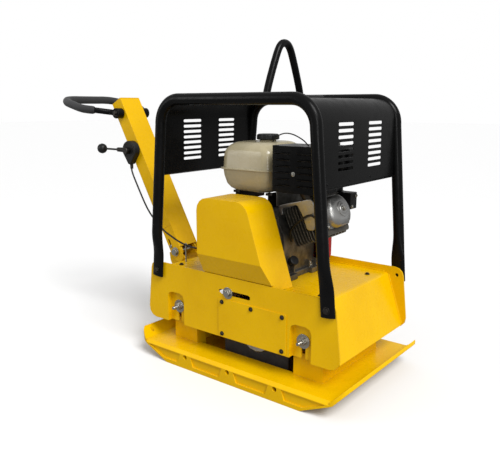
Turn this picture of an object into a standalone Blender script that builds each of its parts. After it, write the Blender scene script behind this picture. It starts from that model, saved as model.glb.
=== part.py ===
"""Reversible plate compactor: vibrating base plate, sprung chassis with engine and cage, and folding handle.

Metres, +Z up. +X is forward, away from the handle, and -Y is the machine's right side, which carries the belt.
The origin lies on the ground, under the middle of the base plate's flat sole.
"""

import math

import bmesh
import bpy
from mathutils import Matrix, Vector

GAP = 0.0003  # clearance between pieces that touch
RUN = 0.0006  # radial clearance of a running fit
BIG_ROUND = 16  # sides of a large round piece
ROUND = 14  # sides of an ordinary round piece
SMALL_ROUND = 10  # sides of a small round piece
SMOOTH_ANGLE = math.radians(35)

# Base plate
PLATE_HALF_LENGTH = 0.445
PLATE_HALF_WIDTH = 0.288
SOLE_HALF_LENGTH = 0.296
PLATE_THICK = 0.012
NOSE_BEND = (0.412, 0.053)
NOSE_TIP_Z = 0.090
RIM_TOP_Z = 0.064
SHOULDER = 0.013
CORNER_RADIUS = 0.048
WELL_HALF_LENGTH = 0.315
WELL_HALF_WIDTH = 0.178
RIM_WALL = 0.014
LUG_X = (-0.199, 0.0, 0.199)
LUG_Z = 0.0435
LUG_HALF = 0.026
BAY_DEPTH = 0.006
TIE_HOLE = (-0.424, -0.235, 0.007)

# Rubber mounts between the base plate and the chassis
MOUNT_X = {-1: -0.284, 1: 0.264}
MOUNT_Z = 0.205
MOUNT_RADIUS = 0.034
POST_HALF_WIDTH = 0.057
POST_OUTER_Y = 0.190
POST_INNER_Y = 0.142
POST_WALL = 0.012
POST_SHELF_Z = 0.148
POST_TOP_Z = 0.246
BEAM_WALL = 0.012

# Exciter
SHAFT_X = 0.065
SHAFT_Z = 0.180
EXCITER_HALF_Y = 0.125
EXCITER_HALF_X = 0.144
EXCITER_TOP_Z = 0.258
BORE_RADIUS = 0.051
COVER_THICK = 0.012
GEAR_TEETH = 16
GEAR_CLEARANCE = 0.0725
GEAR_WIDTH = 0.024

# Chassis
SIDE_Y = 0.242
SIDE_THICK = 0.006
SIDE_INNER_Y = SIDE_Y - SIDE_THICK
CHASSIS_TOP_Z = 0.368
CHASSIS_BOTTOM_Z = 0.145
DECK_Z = 0.345
DECK_THICK = 0.005
DECK_REAR_X = -0.366
POCKET_FLOOR_Y = 0.221
POCKET_HALF_WIDTH = 0.041
POCKET_TOP_Z = 0.262
STUD_RADIUS = 0.0065
STUD_SLOT = 0.008

# Cage
HOOP_Y = 0.2615
HOOP_RADIUS = 0.019
HOOP_TOP_Z = 0.956
HOOP_TOP_X = 0.3145
HOOP_BEND = 0.085
FOOT_X = 0.364
FOOT_BOLT_Z = 0.339
PANEL_X = 0.319
PANEL_THICK = 0.002
PANEL_BOTTOM_Z = 0.698

# Belt drive
BELT_Y = -0.195
BELT_WIDTH = 0.022
BELT_THICK = 0.009
CRANK_X = -0.005
CRANK_Z = 0.478
CLUTCH_RADIUS = 0.055
EXCITER_PULLEY_RADIUS = 0.060
IDLER_RADIUS = 0.026
IDLER_X = -0.032
IDLER_Z = 0.311

# Engine
CASE_FRONT_Y = -0.100
CASE_BACK_Y = 0.095
ENGINE_BASE_Z = DECK_Z + 2 * GAP
BANK_ANGLE = math.radians(25)
TANK_LOW = (-0.178, -0.128, 0.640)
TANK_HIGH = (0.055, 0.130, 0.812)
CAP_AT = (-0.045, 0.0)
MUFFLER_LOW = (0.082, -0.135, 0.672)
MUFFLER_HIGH = (0.241, -0.020, 0.796)
GRIP_AT = (0.055, 0.2136, 0.553)
GOVERNOR_AT = (-0.135, 0.040, 0.548)

# Handle
PIVOT = Vector((-0.466, 0.0, 0.354))
PIN_AT = (-0.0155, 0.0290)
ARM_TILT = math.radians(28.9)
ARM_LENGTH = 0.684
ARM_HALF_DEPTH = 0.029
ARM_HALF_WIDTH = 0.052
ARM_WALL = 0.004
LOOP_AT = (0.004, 0.625)
LEVER_AT = (-0.011, 0.462)
TONGUE_OUTER_Y = 0.044
TONGUE_INNER_Y = 0.036
TONGUE_RADIUS = 0.0265

# Throttle cable, from the lever housing down to the governor
CABLE_POINTS = ((-0.6989, -0.0665, 0.6950), (-0.6920, -0.0710, 0.6650), (-0.6500, -0.0790, 0.6050),
                (-0.6000, -0.0850, 0.5350), (-0.5560, -0.0900, 0.4920), (-0.4880, -0.1000, 0.4510),
                (-0.4390, -0.1080, 0.4340), (-0.3600, -0.1180, 0.4140), (-0.2800, -0.1220, 0.4090),
                (-0.2200, -0.1020, 0.4250), (-0.1850, -0.0600, 0.4600), (-0.1680, -0.0150, 0.5100),
                (-0.1480, 0.0200, 0.5600), (-0.1420, 0.0335, 0.5760))
CABLE_RADIUS = 0.0035

COLOURS = {
    "yellow_paint": ((0.88, 0.56, 0.01), 0.38, 0.0),
    "black_paint": ((0.015, 0.015, 0.014), 0.42, 0.0),
    "zinc_steel": ((0.62, 0.60, 0.56), 0.30, 1.0),
    "dark_steel": ((0.09, 0.085, 0.08), 0.45, 1.0),
    "machined_steel": ((0.45, 0.44, 0.42), 0.35, 1.0),
    "exciter_iron": ((0.20, 0.19, 0.18), 0.6, 0.6),
    "engine_aluminium": ((0.42, 0.41, 0.39), 0.45, 0.9),
    "tank_paint": ((0.62, 0.55, 0.40), 0.30, 0.0),
    "red_paint": ((0.50, 0.02, 0.015), 0.35, 0.0),
    "black_plastic": ((0.02, 0.02, 0.02), 0.5, 0.0),
    "rubber": ((0.025, 0.025, 0.025), 0.8, 0.0),
}


# ---------------------------------------------------------------- helpers


def clear_scene():
    for item in list(bpy.data.objects):
        bpy.data.objects.remove(item, do_unlink=True)


def make_material(name):
    colour, roughness, metallic = COLOURS[name]
    material = bpy.data.materials.new(name)
    material.use_nodes = True
    shader = material.node_tree.nodes["Principled BSDF"]
    shader.inputs["Base Color"].default_value = (*colour, 1.0)
    shader.inputs["Roughness"].default_value = roughness
    shader.inputs["Metallic"].default_value = metallic
    return material


def add_object(name, shape, finish=None, origin=(0, 0, 0), tilt=0.0):
    """Makes an object from a bmesh given relative to its origin, turned by tilt about Y."""
    mesh = bpy.data.meshes.new(name)
    bmesh.ops.recalc_face_normals(shape, faces=shape.faces)
    shape.to_mesh(mesh)
    shape.free()
    mesh.shade_smooth()
    item = bpy.data.objects.new(name, mesh)
    item.location = origin
    item.rotation_euler = (0, tilt, 0)
    bpy.context.collection.objects.link(item)
    if finish:
        mesh.materials.append(bpy.data.materials.get(finish) or make_material(finish))
    return item


def combine(target, tools, operation):
    """Adds a Boolean for each tool shape, which is kept as a hidden helper beside its target."""
    for number, shape in enumerate(tools):
        tool = shape
        if not isinstance(shape, bpy.types.Object):
            tool = add_object(f"{target.name}_{operation.lower()}_{number}", shape)
            tool.matrix_world = Matrix.Translation(target.location) @ target.rotation_euler.to_matrix().to_4x4()
        tool.hide_render = True
        tool.display_type = "WIRE"
        step = target.modifiers.new(f"{operation.lower()}_{number}", "BOOLEAN")
        step.operation = operation
        step.solver = "EXACT"
        step.object = tool
    return target


def cut(target, *tools):
    return combine(target, tools, "DIFFERENCE")


def weld(target, *tools):
    return combine(target, tools, "UNION")


def shade_by_angle(item, group):
    """Shades an object smooth, with every edge sharper than the set angle kept crisp after its Booleans."""
    step = item.modifiers.new("shade_by_angle", "NODES")
    step.node_group = group


def shading_group():
    group = bpy.data.node_groups.new("shade_by_angle", "GeometryNodeTree")
    for direction in ("INPUT", "OUTPUT"):
        group.interface.new_socket("Geometry", in_out=direction, socket_type="NodeSocketGeometry")
    make = group.nodes.new
    entry, leave = make("NodeGroupInput"), make("NodeGroupOutput")
    faces, edges = make("GeometryNodeSetShadeSmooth"), make("GeometryNodeSetShadeSmooth")
    faces.domain, edges.domain = "FACE", "EDGE"
    angle, sharp = make("GeometryNodeInputMeshEdgeAngle"), make("FunctionNodeCompare")
    sharp.inputs["B"].default_value = SMOOTH_ANGLE
    edges.inputs["Shade Smooth"].default_value = False
    group.links.new(entry.outputs[0], faces.inputs["Geometry"])
    group.links.new(angle.outputs["Unsigned Angle"], sharp.inputs["A"])
    group.links.new(faces.outputs["Geometry"], edges.inputs["Geometry"])
    group.links.new(sharp.outputs["Result"], edges.inputs["Selection"])
    group.links.new(edges.outputs["Geometry"], leave.inputs[0])
    return group


def along(axis, across, depth):
    """A point from a position in the plane across an axis, and its depth along that axis."""
    a, b = across
    return {"X": (depth, a, b), "Y": (a, depth, b), "Z": (a, b, depth)}[axis]


def prism(outline, low, high, axis="Y"):
    """An outline in the plane across the axis, extruded along it."""
    shape = bmesh.new()
    bottom = [shape.verts.new(along(axis, point, low)) for point in outline]
    top = [shape.verts.new(along(axis, point, high)) for point in outline]
    shape.faces.new(bottom)
    shape.faces.new(top)
    for i in range(len(outline)):
        j = (i + 1) % len(outline)
        shape.faces.new((bottom[i], bottom[j], top[j], top[i]))
    return shape


def block(low, high):
    outline = [(low[0], low[2]), (high[0], low[2]), (high[0], high[2]), (low[0], high[2])]
    return prism(outline, low[1], high[1])


def arc(centre, radius, start, end, steps):
    """Points on a circle from one angle to another, in degrees."""
    angles = [math.radians(start + (end - start) * i / steps) for i in range(steps + 1)]
    return [(centre[0] + radius * math.cos(t), centre[1] + radius * math.sin(t)) for t in angles]


def rounded(corners, steps=3):
    """An outline whose corners (x, z, radius) are rounded where the radius isn't 0."""
    outline = []
    count = len(corners)
    for i, (x, z, radius) in enumerate(corners):
        here = Vector((x, z))
        if radius == 0:
            outline.append((x, z))
            continue
        before = (Vector(corners[i - 1][:2]) - here).normalized()
        after = (Vector(corners[(i + 1) % count][:2]) - here).normalized()
        half = before.angle(after) / 2
        centre = here + (before + after).normalized() * radius / math.sin(half)
        start = here + before * radius / math.tan(half) - centre
        finish = here + after * radius / math.tan(half) - centre
        turn = start.angle_signed(finish)
        for k in range(steps + 1):
            outline.append(tuple(centre + Matrix.Rotation(-turn * k / steps, 2) @ start))
    return outline


def slot_outline(centre, length, width, steps=3):
    """A slot with round ends along the first axis."""
    reach = (length - width) / 2
    right = arc((centre[0] + reach, centre[1]), width / 2, -90, 90, steps)
    left = arc((centre[0] - reach, centre[1]), width / 2, 90, 270, steps)
    return right + left


def turned(profile, centre, axis="Y", sides=ROUND, ring=False):
    """A turned piece: profile points are (along, radius). With ring, the profile is a closed loop round a bore."""
    shape = bmesh.new()
    rows = []
    for depth, radius in profile:
        row = []
        for i in range(sides):
            angle = 2 * math.pi * i / sides
            a, b = radius * math.cos(angle), radius * math.sin(angle)
            row.append(shape.verts.new(Vector(along(axis, (a, b), depth)) + Vector(centre)))
        rows.append(row)
    pairs = list(zip(rows, rows[1:]))
    if ring:
        pairs.append((rows[-1], rows[0]))
    else:
        shape.faces.new(rows[0])
        shape.faces.new(rows[-1])
    for first, second in pairs:
        for i in range(sides):
            j = (i + 1) % sides
            shape.faces.new((first[i], first[j], second[j], second[i]))
    return shape


def disc(centre, radius, low, high, axis="Y", sides=ROUND):
    return turned([(low, radius), (high, radius)], centre, axis, sides)


def smooth_route(points, spacing):
    """Points at an even spacing along a Catmull-Rom curve through the given ones."""
    nodes = [Vector(p) for p in points]
    nodes = [2 * nodes[0] - nodes[1]] + nodes + [2 * nodes[-1] - nodes[-2]]
    dense = []
    for a, b, c, d in zip(nodes, nodes[1:], nodes[2:], nodes[3:]):
        for k in range(24):
            t = k / 24
            dense.append(0.5 * (2 * b + (c - a) * t + (2 * a - 5 * b + 4 * c - d) * t**2
                                + (3 * b - 3 * c + d - a) * t**3))
    dense.append(nodes[-2])
    total = sum((b - a).length for a, b in zip(dense, dense[1:]))
    count = max(2, round(total / spacing))
    route, walked, target = [dense[0]], 0.0, total / count
    for a, b in zip(dense, dense[1:]):
        step = (b - a).length
        while walked + step >= target and len(route) < count:
            route.append(a.lerp(b, (target - walked) / step))
            target += total / count
        walked += step
    return route + [dense[-1]]


def swept(route, sections, sides=SMALL_ROUND, side=Vector((0, 1, 0))):
    """A bar along a route. A section is its half widths along the side direction and across it."""
    shape = bmesh.new()
    rows = []
    for i, point in enumerate(route):
        ahead = (route[min(i + 1, len(route) - 1)] - route[max(i - 1, 0)]).normalized()
        across = (side - ahead * side.dot(ahead)).normalized()
        upright = ahead.cross(across)
        wide, tall = sections[i]
        row = []
        for k in range(sides):
            angle = 2 * math.pi * (k + 0.5) / sides
            offset = across * (wide * math.cos(angle)) + upright * (tall * math.sin(angle))
            row.append(shape.verts.new(point + offset))
        rows.append(row)
    shape.faces.new(rows[0])
    shape.faces.new(rows[-1])
    for first, second in zip(rows, rows[1:]):
        for k in range(sides):
            n = (k + 1) % sides
            shape.faces.new((first[k], first[n], second[n], second[k]))
    return shape


def side_name(sign):
    """-Y is the machine's right side."""
    return "right" if sign < 0 else "left"


def end_name(sign):
    return "front" if sign > 0 else "rear"


# ---------------------------------------------------------------- base plate


def sole_outline():
    """The boat-shaped side view: flat sole, upturned noses and the flat top that the lips rise from."""
    bend_x, bend_z = NOSE_BEND
    half = [(SOLE_HALF_LENGTH, 0), (bend_x, bend_z), (PLATE_HALF_LENGTH, NOSE_TIP_Z),
            (PLATE_HALF_LENGTH - 0.006, NOSE_TIP_Z + 0.011), (bend_x - 0.006, RIM_TOP_Z)]
    return half + [(-x, z) for x, z in reversed(half)]


def bay_outlines():
    """Shallow recesses in the side walls between the lugs, with sloping ends."""
    top, bottom = 0.050, 0.015
    end = 0.388
    edges = [-end, *LUG_X, end]
    for i, (a, b) in enumerate(zip(edges, edges[1:])):
        low = a + (LUG_HALF if i else 0.0)
        high = b - (LUG_HALF if i < len(LUG_X) else 0.0)
        low_foot = 0.012 if i else 0.078
        high_foot = 0.012 if i < len(LUG_X) else 0.078
        yield [(low, top), (low + low_foot, bottom), (high - high_foot, bottom), (high, top)]


def plan_outline():
    """The plate from above: a rectangle with rounded corners."""
    x, y = PLATE_HALF_LENGTH, PLATE_HALF_WIDTH
    return rounded([(-x, -y, CORNER_RADIUS), (x, -y, CORNER_RADIUS), (x, y, CORNER_RADIUS),
                    (-x, y, CORNER_RADIUS)], 4)


def shoulder_cutter(sign):
    """Triangular bar that breaks the long upper edge of a side rim."""
    edge, top, over = PLATE_HALF_WIDTH, RIM_TOP_Z, 0.002
    corners = [(edge + over, top - SHOULDER), (edge + over, top + over), (edge - SHOULDER, top + over)]
    return prism([(sign * y, z) for y, z in corners], -NOSE_BEND[0] + 0.010, NOSE_BEND[0] - 0.010, "X")


def base_plate():
    """One weldment: hollow-sided plate with a central well, four mount posts and two cross beams."""
    plate = add_object("base_plate", prism(sole_outline(), -PLATE_HALF_WIDTH, PLATE_HALF_WIDTH),
                       "yellow_paint")
    combine(plate, [prism(plan_outline(), -0.1, 0.2, "Z")], "INTERSECT")
    wide, deep = WELL_HALF_LENGTH, WELL_HALF_WIDTH
    cut(plate, block((-wide, -deep, PLATE_THICK), (wide, deep, 0.2)))
    channel = PLATE_HALF_WIDTH - RIM_WALL
    for sign in (-1, 1):
        low, high = sorted((sign * (deep - 0.01), sign * channel))
        cut(plate, block((-wide, low, PLATE_THICK), (wide, high, RIM_TOP_Z - RIM_WALL)),
            shoulder_cutter(sign))
        face, beyond = sign * (PLATE_HALF_WIDTH - BAY_DEPTH), sign * 0.300
        cut(plate, *[prism(bay, face, beyond) for bay in bay_outlines()])
        cut(plate, *[disc((x, 0, LUG_Z), 0.009, sign * (channel - 0.01), beyond,
                          sides=SMALL_ROUND) for x in LUG_X])
        for x in MOUNT_X.values():
            weld(plate, *post_shapes(x, sign))
    for end, x in MOUNT_X.items():
        face = x + end * POST_HALF_WIDTH
        low, high = sorted((face - end * BEAM_WALL, face))
        weld(plate, block((low, -POST_INNER_Y - 0.01, PLATE_THICK / 2),
                          (high, POST_INNER_Y + 0.01, POST_SHELF_Z - 0.002)))
        for sign in (-1, 1):
            cut(plate, disc((x, 0, MOUNT_Z), STUD_RADIUS + RUN, sign * 0.12, sign * 0.18,
                            sides=SMALL_ROUND))
    x, y, radius = TIE_HOLE
    return cut(plate, disc((x, y, 0), radius, 0.0, 0.2, "Z", SMALL_ROUND))


def post_shapes(x, sign):
    """A mount post: a box standing in the well and an upright plate for the rubber."""
    low_x, high_x = x - POST_HALF_WIDTH, x + POST_HALF_WIDTH
    inner, outer = sorted((sign * POST_INNER_Y, sign * POST_OUTER_Y))
    pedestal = block((low_x, inner, PLATE_THICK / 2), (high_x, outer, POST_SHELF_Z))
    back, face = sorted((sign * (POST_INNER_Y + 0.001), sign * (POST_INNER_Y + POST_WALL)))
    upright = prism(rounded([(low_x + 0.002, POST_SHELF_Z - 0.01, 0),
                             (high_x - 0.002, POST_SHELF_Z - 0.01, 0),
                             (high_x - 0.002, POST_TOP_Z, 0.03), (low_x + 0.002, POST_TOP_Z,
                                                                  0.03)]), back, face)
    return pedestal, upright


# ---------------------------------------------------------------- rubber mounts


def rubber_mount(x, sign):
    """A rubber buffer between the post and the chassis pocket, with its inner stud."""
    outer = POCKET_FLOOR_Y - SIDE_THICK - GAP
    inner = POST_INNER_Y + POST_WALL + GAP
    stud_end = POST_INNER_Y - 0.012
    profile = [(outer, MOUNT_RADIUS), (outer - 0.003, MOUNT_RADIUS), (outer - 0.010, MOUNT_RADIUS - 0.004),
               (inner + 0.010, MOUNT_RADIUS - 0.004), (inner + 0.003, MOUNT_RADIUS), (inner, MOUNT_RADIUS),
               (inner, STUD_RADIUS), (stud_end, STUD_RADIUS)]
    profile = [(sign * depth, radius) for depth, radius in profile]
    name = f"rubber_mount_{side_name(sign)}_{end_name(x)}"
    return add_object(name, turned(profile, (0, 0, 0)), "rubber", (x, 0, MOUNT_Z))


def mount_stud(x, sign):
    """The outer stud with its washer and nut, which clamps the pocket's floor."""
    start = POCKET_FLOOR_Y - SIDE_THICK + GAP / 2
    washer = POCKET_FLOOR_Y + GAP
    profile = [(start, STUD_RADIUS), (washer, STUD_RADIUS), (washer, 0.0245), (washer + 0.0035, 0.0245),
               (washer + 0.0035, 0.0125), (washer + 0.0165, 0.0125), (washer + 0.0165, STUD_RADIUS),
               (washer + 0.036, STUD_RADIUS)]
    profile = [(sign * depth, radius) for depth, radius in profile]
    name = f"mount_stud_{side_name(sign)}_{end_name(x)}"
    return add_object(name, turned(profile, (0, 0, 0), sides=SMALL_ROUND), "zinc_steel", (x, 0, MOUNT_Z))


# ---------------------------------------------------------------- exciter


def exciter_housing():
    low, high = PLATE_THICK + GAP, EXCITER_TOP_Z
    half = EXCITER_HALF_X
    outline = rounded([(-half, low, 0), (half, low, 0), (half, high, 0.04), (-half, high, 0.04)], 3)
    housing = add_object("exciter_housing", prism(outline, -EXCITER_HALF_Y, EXCITER_HALF_Y), "exciter_iron")
    bores = [disc((sign * SHAFT_X, 0, SHAFT_Z), BORE_RADIUS, -0.2, 0.2) for sign in (-1, 1)]
    reach = SHAFT_X + GEAR_CLEARANCE
    low, high = SHAFT_Z - GEAR_CLEARANCE, SHAFT_Z + GEAR_CLEARANCE
    chamber = rounded([(-reach, low, 0.04), (reach, low, 0.04), (reach, high, 0.04), (-reach, high, 0.04)])
    return cut(housing, *bores, prism(chamber, EXCITER_HALF_Y - 0.034, 0.2))


def exciter_cover(sign):
    """End cover of the exciter. Both hold the bearings, and the right one lets the front shaft out."""
    face = EXCITER_HALF_Y + GAP
    half = EXCITER_HALF_X - 0.002
    outline = rounded([(-half, 0.103, 0.04), (half, 0.103, 0.04), (half, 0.257, 0.038),
                       (-half, 0.257, 0.038)])
    low, high = sorted((sign * face, sign * (face + COVER_THICK)))
    cover = add_object(f"exciter_cover_{side_name(sign)}", prism(outline, low, high), "exciter_iron")
    if sign < 0:
        cut(cover, disc((SHAFT_X, 0, SHAFT_Z), 0.019, -0.2, -0.1))
    return cover


def exciter_bearing(x, sign):
    """Roller bearing, modelled as a ring in the end of its bore."""
    inner, outer = 0.0185, BORE_RADIUS - GAP * 2
    far = EXCITER_HALF_Y - GAP if sign < 0 else EXCITER_HALF_Y - 0.036
    near = far - 0.018
    profile = [(sign * near, inner), (sign * near, outer), (sign * far, outer), (sign * far, inner)]
    name = f"bearing_{end_name(x)}_{side_name(sign)}"
    return add_object(name, turned(profile, (0, 0, 0), ring=True), "machined_steel", (x, 0, SHAFT_Z))


def eccentric_shaft(x):
    """A shaft with its half-moon weight. The front one reaches out to the pulley."""
    end = -0.222 if x > 0 else -EXCITER_HALF_Y + 0.001
    shaft = add_object(f"eccentric_shaft_{end_name(x)}", turned([(end, 0.018), (0.122, 0.018)], (0, 0, 0)),
                       "machined_steel", (x, 0, SHAFT_Z))
    half_moon = arc((0, 0), 0.046, -180, 0, 8)
    return weld(shaft, prism(half_moon, -0.100, 0.064))


def gear_outline(teeth, pitch_radius, phase):
    """Straight-flanked teeth with backlash, from root to tip."""
    module = 2 * pitch_radius / teeth
    root, tip = pitch_radius - 1.15 * module, pitch_radius + 0.75 * module
    step = 2 * math.pi / teeth
    outline = []
    for i in range(teeth):
        middle = phase + i * step
        for share, radius in ((-0.28, root), (-0.10, tip), (0.10, tip), (0.28, root)):
            angle = middle + share * step
            outline.append((radius * math.cos(angle), radius * math.sin(angle)))
    return outline


def sync_gear(x):
    """Timing gears of equal size, in mesh between the shafts."""
    phase = math.pi if x > 0 else math.pi / GEAR_TEETH
    low = EXCITER_HALF_Y - 0.030
    gear = add_object(f"sync_gear_{end_name(x)}",
                      prism(gear_outline(GEAR_TEETH, SHAFT_X, phase), low, low + GEAR_WIDTH),
                      "machined_steel", (x, 0, SHAFT_Z))
    return cut(gear, disc((0, 0, 0), 0.018 + RUN, 0.0, 0.2))


def grooved_pulley(name, radius, at, bore, hub=None):
    """A pulley whose groove holds the belt between two flanges."""
    half = BELT_WIDTH / 2 + 0.0008
    flange = 0.004
    middle = BELT_Y
    profile = [(middle - half - flange, bore), (middle - half - flange, radius + 0.006),
               (middle - half, radius + 0.006), (middle - half, radius), (middle + half, radius),
               (middle + half, radius + 0.006), (middle + half + flange, radius + 0.006)]
    if hub:
        profile += [(middle + half + flange, hub[0]), (hub[1], hub[0]), (hub[1], bore)]
    else:
        profile += [(middle + half + flange, bore)]
    return add_object(name, turned(profile, (0, 0, 0), sides=BIG_ROUND, ring=True), "machined_steel",
                      (at[0], 0, at[1]))


# ---------------------------------------------------------------- chassis


def side_outline():
    return rounded([(-0.405, CHASSIS_TOP_Z, 0.03), (-0.430, CHASSIS_BOTTOM_Z, 0.035),
                    (0.412, CHASSIS_BOTTOM_Z, 0.035), (0.385, CHASSIS_TOP_Z, 0.035)], 3)


def pocket_outline(x, grow=0.0):
    half = POCKET_HALF_WIDTH + grow
    low = CHASSIS_BOTTOM_Z + (0.0005 if grow else -0.02)
    return rounded([(x - half, low, 0), (x + half, low, 0), (x + half, POCKET_TOP_Z + grow, 0.022 + grow),
                    (x - half, POCKET_TOP_Z + grow, 0.022 + grow)], 2)


def side_plate(sign):
    """Chassis side with recessed, slotted pockets for the rubber mounts."""
    inner, outer = sign * SIDE_INNER_Y, sign * SIDE_Y
    plate = add_object(f"side_plate_{side_name(sign)}", prism(side_outline(), inner, outer), "yellow_paint")
    beyond = sign * 0.260
    for x in MOUNT_X.values():
        back = sign * (POCKET_FLOOR_Y - SIDE_THICK)
        weld(plate, prism(pocket_outline(x, 0.005), back, sign * (SIDE_Y - 0.001)))
        cut(plate, prism(pocket_outline(x), sign * POCKET_FLOOR_Y, beyond))
        slot = arc((x, MOUNT_Z), STUD_SLOT, 0, 180, 4)
        slot += [(x - STUD_SLOT, 0.1), (x + STUD_SLOT, 0.1)]
        cut(plate, prism(slot, sign * 0.2, beyond))
        cut(plate, disc((math.copysign(FOOT_X, x), 0, FOOT_BOLT_Z), 0.0065, sign * 0.2, beyond,
                        sides=SMALL_ROUND))
    if sign < 0:
        cut(plate, prism(slot_outline((-0.0045, IDLER_Z), 0.139, 0.018), -0.2, beyond))
        access = [(-0.003, 0.165, 0.01), (0.137, 0.165, 0.01), (0.137, 0.272, 0.01), (-0.003, 0.272, 0.01)]
        cut(plate, prism(rounded(access, 2), -0.2, beyond))
    return plate


def sheet_outline(path, thick):
    """The outline of a bent sheet: its upper surface is the path, and it lies to the path's right."""
    points = [Vector(p) for p in path]
    under = []
    for i, point in enumerate(points):
        before = (point - points[i - 1]).normalized() if i else (points[1] - point).normalized()
        after = (points[i + 1] - point).normalized() if i < len(points) - 1 else before
        normal = Vector((before.y, -before.x)) + Vector((after.y, -after.x))
        normal.normalize()
        under.append(point + normal * thick / max(0.5, normal.dot(Vector((before.y, -before.x)))))
    return [tuple(p) for p in points] + [tuple(p) for p in reversed(under)]


def deck_tray():
    """One bent sheet: the deck and the sloping front, with two slots for the belt."""
    path = [(DECK_REAR_X, DECK_Z), (0.318, DECK_Z), (0.331, 0.339), (0.3945, 0.155)]
    half = SIDE_INNER_Y - GAP
    tray = add_object("deck_tray", prism(sheet_outline(path, DECK_THICK), -half, half), "yellow_paint")
    slots = [block((low, -0.214, 0.3), (high, -0.176, 0.4)) for low,
             high in ((-0.084, 0.006), (0.058, 0.108))]
    return cut(tray, *slots)


def rear_face_x(z):
    """Outer face of the sloping rear plate at a height."""
    return DECK_REAR_X - 0.0012 - (DECK_Z - z) * 0.2084


def rear_plate():
    """Sheet that closes the rear, sloping out under the handle."""
    path = [(rear_face_x(0.152), 0.152), (rear_face_x(0.3392), 0.3392)]
    half = SIDE_INNER_Y - GAP
    return add_object("rear_plate", prism(sheet_outline(path, DECK_THICK), -half, half), "yellow_paint")


def access_cover():
    """Bolted panel over the exciter pulley."""
    outline = rounded([(-0.074, 0.147, 0.004), (0.212, 0.147, 0.004), (0.212, 0.2875, 0.004),
                       (-0.074, 0.2875, 0.004)], 2)
    return add_object("access_cover", prism(outline, -SIDE_Y - GAP, -SIDE_Y - GAP - 0.003), "yellow_paint")


def guard_side_outline(shrink=0.0):
    """The belt guard from the side: upright rear edge, round shoulders and a sloping front edge."""
    top = 0.636 - shrink
    low = 0.30 if shrink else 0.3457
    lean = 0.330
    foot_x = 0.066 + (top - low) * lean - shrink
    return rounded([(-0.142 + shrink, low, 0), (foot_x, low, 0), (0.066 - shrink, top, 0.050 - shrink),
                    (-0.142 + shrink, top, 0.045 - shrink)], 4)


def guard_end_outline(shrink=0.0):
    """The belt guard from the end: a chamfer leads down to the side plate."""
    outer = -0.275 + shrink
    low = 0.30 if shrink else 0.3457
    back = -0.10 if shrink else -0.136
    inside_y = -SIDE_INNER_Y + 2 * GAP + shrink
    corners = [(outer, 0.75), (outer, 0.440 + shrink * 0.3), (inside_y - 0.008 + shrink * 0.3, 0.3715)]
    return corners + [(inside_y, 0.3715), (inside_y, low), (back, low), (back, 0.75)]


def belt_guard():
    """Sheet shell over the clutch and the top of the belt, open towards the engine."""
    sheet = 0.003
    guard = add_object("belt_guard", prism(guard_side_outline(), -0.3, -0.136), "yellow_paint")
    combine(guard, [prism(guard_end_outline(), -0.3, 0.3, "X")], "INTERSECT")
    hollow = add_object("belt_guard_hollow", prism(guard_side_outline(sheet), -0.4, -0.05))
    combine(hollow, [prism(guard_end_outline(sheet), -0.4, 0.4, "X")], "INTERSECT")
    cut(guard, hollow)
    tab = block((0.155, -0.226, 0.3457), (0.192, -0.166, 0.3497))
    weld(guard, tab)
    return guard


def hoop_route():
    """Centre line of a roll hoop from its rear foot over the top to its front foot, seen from the side."""
    lean = (FOOT_X - HOOP_TOP_X) / (HOOP_TOP_Z - HOOP_BEND - FOOT_BOLT_Z)
    foot = FOOT_X + (FOOT_BOLT_Z - 0.315) * lean
    half = [(foot, 0.315), (FOOT_X - 0.05 * lean, 0.389), (FOOT_X - 0.10 * lean, 0.440),
            (FOOT_X - 0.15 * lean, 0.490), (FOOT_X - 0.34 * lean, 0.680)]
    centre = (HOOP_TOP_X - HOOP_BEND, HOOP_TOP_Z - HOOP_BEND)
    half += arc(centre, HOOP_BEND, 0, 90, 5)
    return [(-x, z) for x, z in half] + [(x, z) for x, z in reversed(half)]


def roll_hoop(sign):
    """Bent tube with flattened, drilled feet."""
    thin, wide = 0.0072, 0.0255
    flat_y = SIDE_Y + GAP + thin
    route, sections = [], []
    for x, z in hoop_route():
        share = min(1.0, max(0.0, (z - 0.389) / 0.101))
        blend = share * share * (3 - 2 * share)
        route.append(Vector((x, sign * (flat_y + (HOOP_Y - flat_y) * blend), z)))
        sections.append((thin + (HOOP_RADIUS - thin) * blend, wide + (HOOP_RADIUS - wide) * blend))
    hoop = add_object(f"roll_hoop_{side_name(sign)}", swept(route, sections, sides=12), "black_paint")
    holes = [disc((x, 0, FOOT_BOLT_Z), 0.0065, sign * 0.2, sign * 0.3, sides=SMALL_ROUND) for x in (-FOOT_X,
                                                                                                    FOOT_X)]
    return cut(hoop, *holes)


def cage_panel(sign):
    """Slotted sheet between the hoops at one end, bent over at the top and lipped at the bottom."""
    half = HOOP_Y - HOOP_RADIUS - GAP
    bend = 0.070
    top = 0.958
    centre = (PANEL_X - bend, top - bend)
    path = [(PANEL_X + 0.012, PANEL_BOTTOM_Z - 0.004), (PANEL_X + 0.004, PANEL_BOTTOM_Z),
            *arc(centre, bend, 0, 90, 4), (PANEL_X - bend - 0.030, top)]
    outline = sheet_outline([(sign * x, z) for x, z in path], PANEL_THICK * -sign)
    panel = add_object(f"{end_name(sign)}_panel", prism(outline, -half, half), "black_paint")
    cutters = []
    for column in (-0.097, 0.097):
        for row in range(8):
            z = 0.746 + 0.0193 * row
            cutters.append(prism(slot_outline((column, z), 0.095, 0.010, 2), sign * 0.25, sign * 0.36, "X"))
    return cut(panel, *cutters)


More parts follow.
